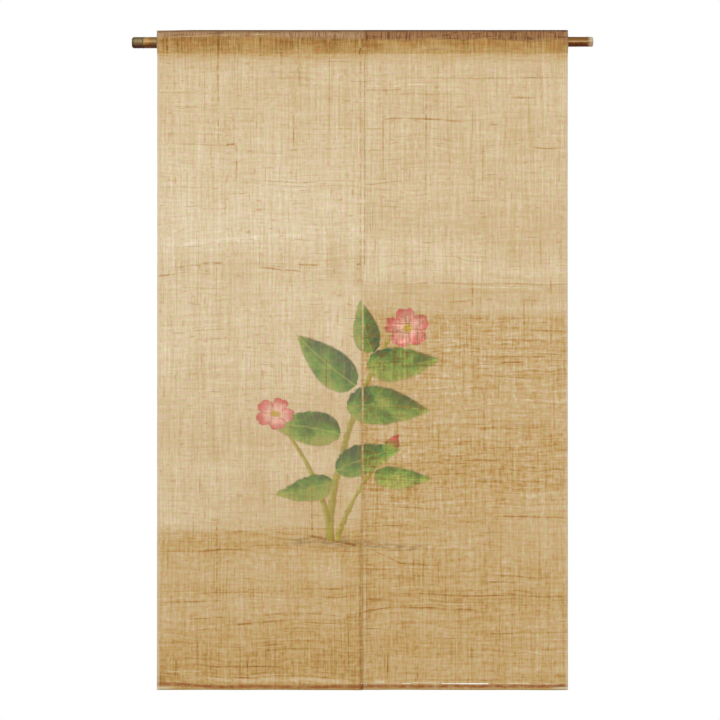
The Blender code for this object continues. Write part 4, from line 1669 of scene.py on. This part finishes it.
def add_tunnel_band_and_shade(tree, colour, x, y, drift_y, bleached, side):
    """A purplish band above the rod, darker near its top, dark warps across it, orange mottles, and
    painted shade in the top crease and at the tunnels' join.
    """
    tunnel = tree.ramp_up(y, SEAM_HEIGHT - 1.0 * MM, SEAM_HEIGHT + 2.0 * MM)
    orange = tree.ramp_up(tree.patches(x, y, 26.0, 40.0, detail=3.0), 0.48, 0.68)
    colour = tree.mix(orange * tunnel * 0.28, colour, TUNNEL_ORANGE)
    sway = tree.patches(x, y, 14.0, 60.0, detail=3.0)
    line = TUNNEL_BAND_EDGE[side] + (sway - 0.5) * TUNNEL_BAND_SWAY
    band = tree.ramp_up(drift_y - line, -6.5 * MM, 5.0 * MM)
    behind = tree.ramp_up(y, DROP + 20.0 * MM, DROP + 12.0 * MM)
    band *= tree.clamp(behind - bleached)
    dusk = tree.ramp_up(y, DROP - 9.0 * MM, DROP - 2.5 * MM)
    dyed = tree.mix(dusk, TUNNEL_BAND[side], TUNNEL_TOP[side])
    colour = tree.mix(band * 0.75, colour, dyed)
    comb = tree.patches(x, y, 380.0, 34.0)
    smears = tree.patches(x, y, 24.0, 260.0)
    marks = tree.largest(tree.ramp_up(comb, 0.42, 0.72), tree.ramp_up(smears, 0.54, 0.76))
    marks *= band
    colour = tree.mix(1.0, colour, tree.mix(marks, WHITE, TUNNEL_SHADE[side]), "MULTIPLY")
    # Painted shade where the tunnels butt, and the short slanting dark line above the seam
    colour = tree.mix(tunnel_join(tree, x, y) * 0.75, colour, JOIN_DARK_AND_SHADE)
    # Painted shade along the folded top crease
    crease = tree.near(y, DROP, 3.6 * MM, 1.6 * MM)
    return tree.mix(crease * 0.95, colour, CREASE_SHADE[side])


def tunnel_join(tree, x, y):
    """Painted shade in the gap where the two tunnels butt, and the short fold that slants off it above
    the seam.
    """
    # Painted shade in the gap between the butted tunnels
    seam = tree.near(x, TUNNEL_BUTT_X, 3.0 * MM, 0.8 * MM)
    seam *= tree.ramp_up(y, SEAM_HEIGHT + 9.0 * MM, SEAM_HEIGHT + 36.0 * MM)
    jog = SEAM_JOG_X + (y - SEAM_HEIGHT) * SEAM_JOG_LEAN
    jog = tree.near(x, jog, 2.6 * MM, 0.6 * MM)
    jog *= tree.ramp_up(y, SEAM_HEIGHT - 4.0 * MM, SEAM_HEIGHT + 1.0 * MM)
    jog *= tree.ramp_up(y, SEAM_HEIGHT + 15.0 * MM, SEAM_HEIGHT + 10.0 * MM)
    return tree.largest(seam, jog * 0.9)


def add_hem_lines(tree, colour, x, y, drift_y, side):
    """The reddish line of the turned hem and the olive fold under it, with pale ends and painted shade at
    the foot of the slit.
    """
    start, rise, half = HEM_RED[side]
    sway = (drift_y - y) * 0.4
    outward = tree.ramp_up(abs(x), 290.0 * MM, 435.0 * MM)
    line = start * MM + outward * (rise * MM)
    away = abs(y - line - sway)
    red = tree.ramp_up(away, half * MM, half * 0.3 * MM)
    patchy = tree.patches(x, y, 60.0, 90.0, detail=3.0)
    strength = tree.clamp(patchy * 1.3 + 0.15)
    colour = tree.mix(red * strength, colour, HEM_LINE)
    end = tree.ramp_up(abs(x), HALF_WIDTH - 42.0 * MM, HALF_WIDTH - 16.0 * MM)
    end *= tree.ramp_up(y, 8.0 * MM, 5.5 * MM)
    colour = tree.mix(end * 0.8, colour, HEM_END)
    # Painted shade under the lapped corner at the foot of the slit
    notch = tree.near(x, -1.5 * MM, 5.0 * MM, 2.0 * MM)
    notch *= tree.ramp_up(y, 13.0 * MM, 8.0 * MM)
    colour = tree.mix(notch * 0.55, colour, JOIN_DARK_AND_SHADE)
    edge = tree.ramp_up(abs(y), 3.8 * MM, 1.2 * MM)
    return tree.mix(edge * 0.8, colour, HEM_EDGE)


# Bark colours from the rod's underside to its top, with painted light in them: painted shade over the
# lower half, a painted highlight stripe just above the middle, and in the brown a paler painted
# reflection along the very bottom
BARK_BROWN_WITH_PAINTED_LIGHT = (
    (0.06, from_srgb(104, 70, 44)), (0.16, from_srgb(84, 36, 6)), (0.36, from_srgb(88, 40, 4)),
    (0.48, from_srgb(118, 74, 30)), (0.56, from_srgb(190, 154, 104)), (0.66, from_srgb(136, 94, 44)),
    (0.90, from_srgb(118, 80, 34)),
)
BARK_OLIVE_WITH_PAINTED_LIGHT = (
    (0.12, from_srgb(70, 34, 20)), (0.32, from_srgb(108, 82, 50)), (0.50, from_srgb(132, 114, 78)),
    (0.62, from_srgb(144, 130, 92)), (0.90, from_srgb(94, 80, 50)),
)
# Colours of the pale cut rim by height, with the same painted highlight stripe
BARK_CUT_WITH_PAINTED_LIGHT = (
    (0.20, from_srgb(168, 140, 108)), (0.45, from_srgb(166, 138, 106)), (0.62, from_srgb(196, 176, 146)),
)
BARK_END = from_srgb(58, 42, 22)
# Colours of the ochre patch by height, with the same painted highlight stripe
BARK_PATCH_WITH_PAINTED_LIGHT = (
    (0.40, from_srgb(190, 146, 76)), (0.62, from_srgb(204, 162, 104)), (0.80, from_srgb(172, 136, 78)),
)
# Grain along the rod: patches per metre along, across and up
BARK_GRAIN = (9.0, 130.0, 130.0)


def make_bamboo(name):
    """Smoked, spotted bamboo bark, with painted shade on its underside and a painted highlight stripe
    along it.
    """
    material, tree, shader = new_material(name)
    place = tree.result(tree.add("ShaderNodeTexCoord"), "Object")
    x, _, z = tree.split(place)
    stretched = tree.result(tree.add("ShaderNodeMapping", {"Vector": place, "Scale": BARK_GRAIN}))
    grain = tree.noise(stretched, detail=3.0, roughness=0.6, dimensions="3D")
    mottle = tree.noise(place, scale=110.0, detail=4.0, roughness=0.62, dimensions="3D")
    tone = mottle * 0.7 + grain * 0.6
    # Height on the rod, 0 at its underside and 1 at its top, with a wobble: it places the painted shade
    # and the painted highlight
    height = z + (mottle - 0.5) * (5.0 * MM)
    height = height * (1.0 / (24.0 * MM)) + 0.5
    colour = tree.ramp(height, BARK_BROWN_WITH_PAINTED_LIGHT)
    tail = tree.ramp_up(x, -456.0 * MM, -450.0 * MM) * tree.ramp_up(x, -380.0 * MM, -420.0 * MM)
    olive = tree.largest(tree.ramp_up(x, -462.0 * MM, -470.0 * MM), tail * 0.45)
    colour = tree.mix(olive, colour, tree.ramp(height, BARK_OLIVE_WITH_PAINTED_LIGHT))
    wobble = x + mottle * (6.0 * MM)
    start = tree.ramp_up(wobble, -468.5 * MM, -464.0 * MM)
    beyond = tree.ramp_up(wobble, -450.0 * MM, -458.0 * MM)
    beyond = tree.ramp_up(wobble, -430.0 * MM, -442.0 * MM) * 0.25 + beyond * 0.6
    patch = start * beyond
    # The patch fades out towards the underside, where the painted shade of the bark takes over
    patch *= tree.ramp_up(z, -9.0 * MM, 1.0 * MM)
    colour = tree.mix(patch * 0.85, colour, tree.ramp(height, BARK_PATCH_WITH_PAINTED_LIGHT))
    worn = x + (grain - 0.5) * (14.0 * MM)
    pale_end = tree.ramp_up(worn, 481.0 * MM, 489.0 * MM)
    colour = tree.mix(pale_end * 0.85, colour, tree.ramp(height, BARK_CUT_WITH_PAINTED_LIGHT))
    dim_end = tree.ramp_up(x, -485.0 * MM, -492.0 * MM)
    colour = tree.mix(dim_end * 0.5, colour, BARK_END)
    ring = tree.near(wobble, -467.5 * MM, 1.6 * MM, 0.6 * MM)
    colour = tree.mix(ring * 0.45, colour, BARK_END)
    streaks = tone * 1.5 + 0.1
    colour = tree.mix(0.6, colour, tree.mix(1.0, colour, tree.grey(streaks), "MULTIPLY"))
    tree.feed(shader.inputs["Base Color"], colour)
    tree.feed(shader.inputs["Roughness"], mottle * 0.1 + 0.22)
    shader.inputs["Specular IOR Level"].default_value = 0.07
    shader.inputs["Coat Weight"].default_value = 0.05
    shader.inputs["Coat Roughness"].default_value = 0.22
    tree.feed(shader.inputs["Normal"], tree.bump(grain, 0.015, 0.3 * MM))
    return material


def make_cut_bamboo(name):
    """Pale sawn bamboo with its fibre dots."""
    material, tree, shader = new_material(name)
    place = tree.result(tree.add("ShaderNodeTexCoord"), "Object")
    dots = tree.noise(place, scale=900.0, detail=1.0, dimensions="3D")
    tone = tree.noise(place, scale=80.0, detail=2.0, dimensions="3D")
    base = tree.mix(tone, from_srgb(196, 160, 104), from_srgb(222, 194, 146))
    colour = tree.mix(tree.ramp_up(dots, 0.58, 0.7), base, from_srgb(120, 82, 46))
    tree.feed(shader.inputs["Base Color"], colour)
    tree.feed(shader.inputs["Roughness"], tone * 0.2 + 0.6)
    return material


def make_yarn(name, light, dark):
    """Twisted sewing yarn."""
    material, tree, shader = new_material(name)
    place = tree.result(tree.add("ShaderNodeTexCoord"), "Object")
    x, _, z = tree.split(place)
    turns = (x + z) * 9000.0
    twist = tree.math("SINE", turns) * 0.5 + 0.5
    colour = tree.mix(twist, dark, light)
    tree.feed(shader.inputs["Base Color"], colour)
    tree.feed(shader.inputs["Roughness"], twist * 0.1 + 0.75)
    return material


def make_groups():
    groups = {"yarn_drift": make_yarn_drift(), "yarn_lines": make_yarn_lines(), "streak": make_streak()}
    groups["slubs"] = make_slubs(groups["yarn_lines"])
    groups["plain_weave"] = make_plain_weave()
    groups["hemp_tone"] = make_hemp_tone(groups["yarn_lines"], groups["slubs"], groups["plain_weave"])
    leaf, bloom, stem = make_leaf(), make_bloom(), make_stem()
    for side in ("left", "right"):
        spray = make_painted_spray("spray_" + side, side, leaf, bloom, stem, groups["streak"])
        groups["spray_" + side] = spray
        groups["yarns_" + side] = make_thick_yarns("yarns_" + side, side, groups["streak"])
    return groups


# Stage

FLOOR_DROP = 450.0 * MM
FLOOR_CORNERS = ((-3.0, -4.5), (3.0, -4.5), (3.0, 2.3), (-3.0, 2.3))
FLOOR_COLOUR = (0.86, 0.86, 0.85, 1.0)
LIGHTS = (
    {
        "name": "key", "place": (-0.9, -5.0, 1.55), "target": (0.0, 0.0, -0.6),
        "size": (3.2, 1.4), "power": 54.0, "diffuse": True,
    },
    {
        "name": "fill", "place": (2.4, -3.6, -0.2), "target": (0.0, 0.0, -0.7),
        "size": (2.4, 2.4), "power": 14.0, "diffuse": True,
    },
    {
        "name": "glint", "place": (0.0, -2.9, 1.05), "target": (0.0, 0.0, 0.0),
        "size": (3.4, 0.16), "power": 40.0, "diffuse": False,
    },
)


def build_stage():
    """A pale floor under the hanging curtain, and soft light."""
    data = bpy.data.meshes.new("floor")
    data.from_pydata([(x, y, HEM_Z - FLOOR_DROP) for x, y in FLOOR_CORNERS], [], [(0, 1, 2, 3)])
    place_object("floor", data)
    material, _, shader = new_material("pale_floor")
    shader.inputs["Base Color"].default_value = FLOOR_COLOUR
    shader.inputs["Roughness"].default_value = 0.8
    data.materials.append(material)

    for row in LIGHTS:
        add_area_light(row)

    world = bpy.data.worlds.new("white_studio")
    bpy.context.scene.world = world
    world.use_nodes = True
    seen = world.node_tree.nodes["Background"]
    seen.inputs["Color"].default_value = WHITE
    tree = Tree(world.node_tree)
    path = tree.add("ShaderNodeLightPath")
    diffuse, glossy = [
        tree.result(tree.add("ShaderNodeBackground", {"Color": WHITE, "Strength": strength}))
        for strength in (WORLD_DIFFUSE, WORLD_GLOSSY)
    ]
    given = {0: tree.result(path, "Is Glossy Ray"), 1: diffuse, 2: glossy}
    lit = tree.result(tree.add("ShaderNodeMixShader", given))
    given = {0: tree.result(path, "Is Camera Ray"), 1: lit, 2: tree.result(seen)}
    mixed = tree.result(tree.add("ShaderNodeMixShader", given))
    tree.feed(world.node_tree.nodes["World Output"].inputs["Surface"], mixed)


def build_camera():
    """Straight on, far back, so that the curtain's sides stay upright."""
    bpy.context.scene.view_settings.view_transform = "Standard"
    distance = FRAME_WIDTH * LENS_MM / SENSOR_MM
    camera_data = bpy.data.cameras.new("camera")
    camera_data.lens = LENS_MM
    camera_data.sensor_width = SENSOR_MM
    camera = place_object("camera", camera_data)
    camera.location = (PICTURE_SHIFT_X, -distance, (TOP_Z + HEM_Z) / 2.0)
    camera.rotation_euler = (math.pi / 2.0, 0.0, 0.0)
    bpy.context.scene.camera = camera


def add_area_light(row):
    data = bpy.data.lights.new(row["name"], "AREA")
    data.shape = "RECTANGLE"
    data.size, data.size_y = row["size"]
    data.energy = row["power"]
    light = place_object(row["name"], data)
    light.location = row["place"]
    toward = Vector(row["target"]) - light.location
    light.rotation_euler = toward.to_track_quat("-Z", "Y").to_euler()
    light.visible_diffuse = row["diffuse"]


# Assembly

def dress(piece, materials, nodes=()):
    """Gives a piece its materials, its body and the solids that it stands for."""
    for material in materials:
        piece.data.materials.append(material)
    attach(piece, "root")
    if nodes:
        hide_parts(*nodes)
    return piece


def main():
    build_camera()
    build_stage()
    rng = random.Random(7)
    groups = make_groups()
    yarn = make_yarn("ecru_yarn", from_srgb(214, 186, 140), from_srgb(168, 130, 82))
    white_yarn = make_yarn("white_yarn", from_srgb(244, 230, 206), from_srgb(206, 190, 164))

    rod = build_rod("bamboo_rod")
    dress(rod, [make_bamboo("bamboo_bark"), make_cut_bamboo("bamboo_cut")], ["rod"])

    for side in ("left", "right"):
        piece = build_cloth("cloth_" + side, side)
        materials = [
            make_hemp_cloth("hemp_" + side + "_front", side, groups, 0.0),
            make_hemp_cloth("hemp_" + side + "_back", side, groups, 0.45),
            make_hemp_cloth("hemp_" + side + "_painted", side, groups, 1.0),
        ]
        dress(piece, materials, ["panel_" + side])

    seam_stitches = build_line_stitches(
        "tunnel_stitches", SEAM_HEIGHT - 1.0 * MM, -HALF_WIDTH + 4.0 * MM, HALF_WIDTH - 5.0 * MM, rng
    )
    hem_stitches = build_line_stitches(
        "hem_stitches", HEM_DEPTH - 1.5 * MM, -HALF_WIDTH + 4.0 * MM, HALF_WIDTH - 5.0 * MM, rng
    )
    join_stitches = build_join_stitches("join_stitches", rng)
    slit_tack = build_tack("slit_tack", -8.0 * MM, -475.0 * MM, 11.0 * MM, 6, 0.4 * MM, rng)
    white_stitches = build_white_stitches("white_stitches")
    ladder = build_ladder_yarns("open_weft_yarns", rng)
    for piece in (seam_stitches, hem_stitches, join_stitches, slit_tack, ladder):
        dress(piece, [yarn])
    dress(white_stitches, [white_yarn])


main()
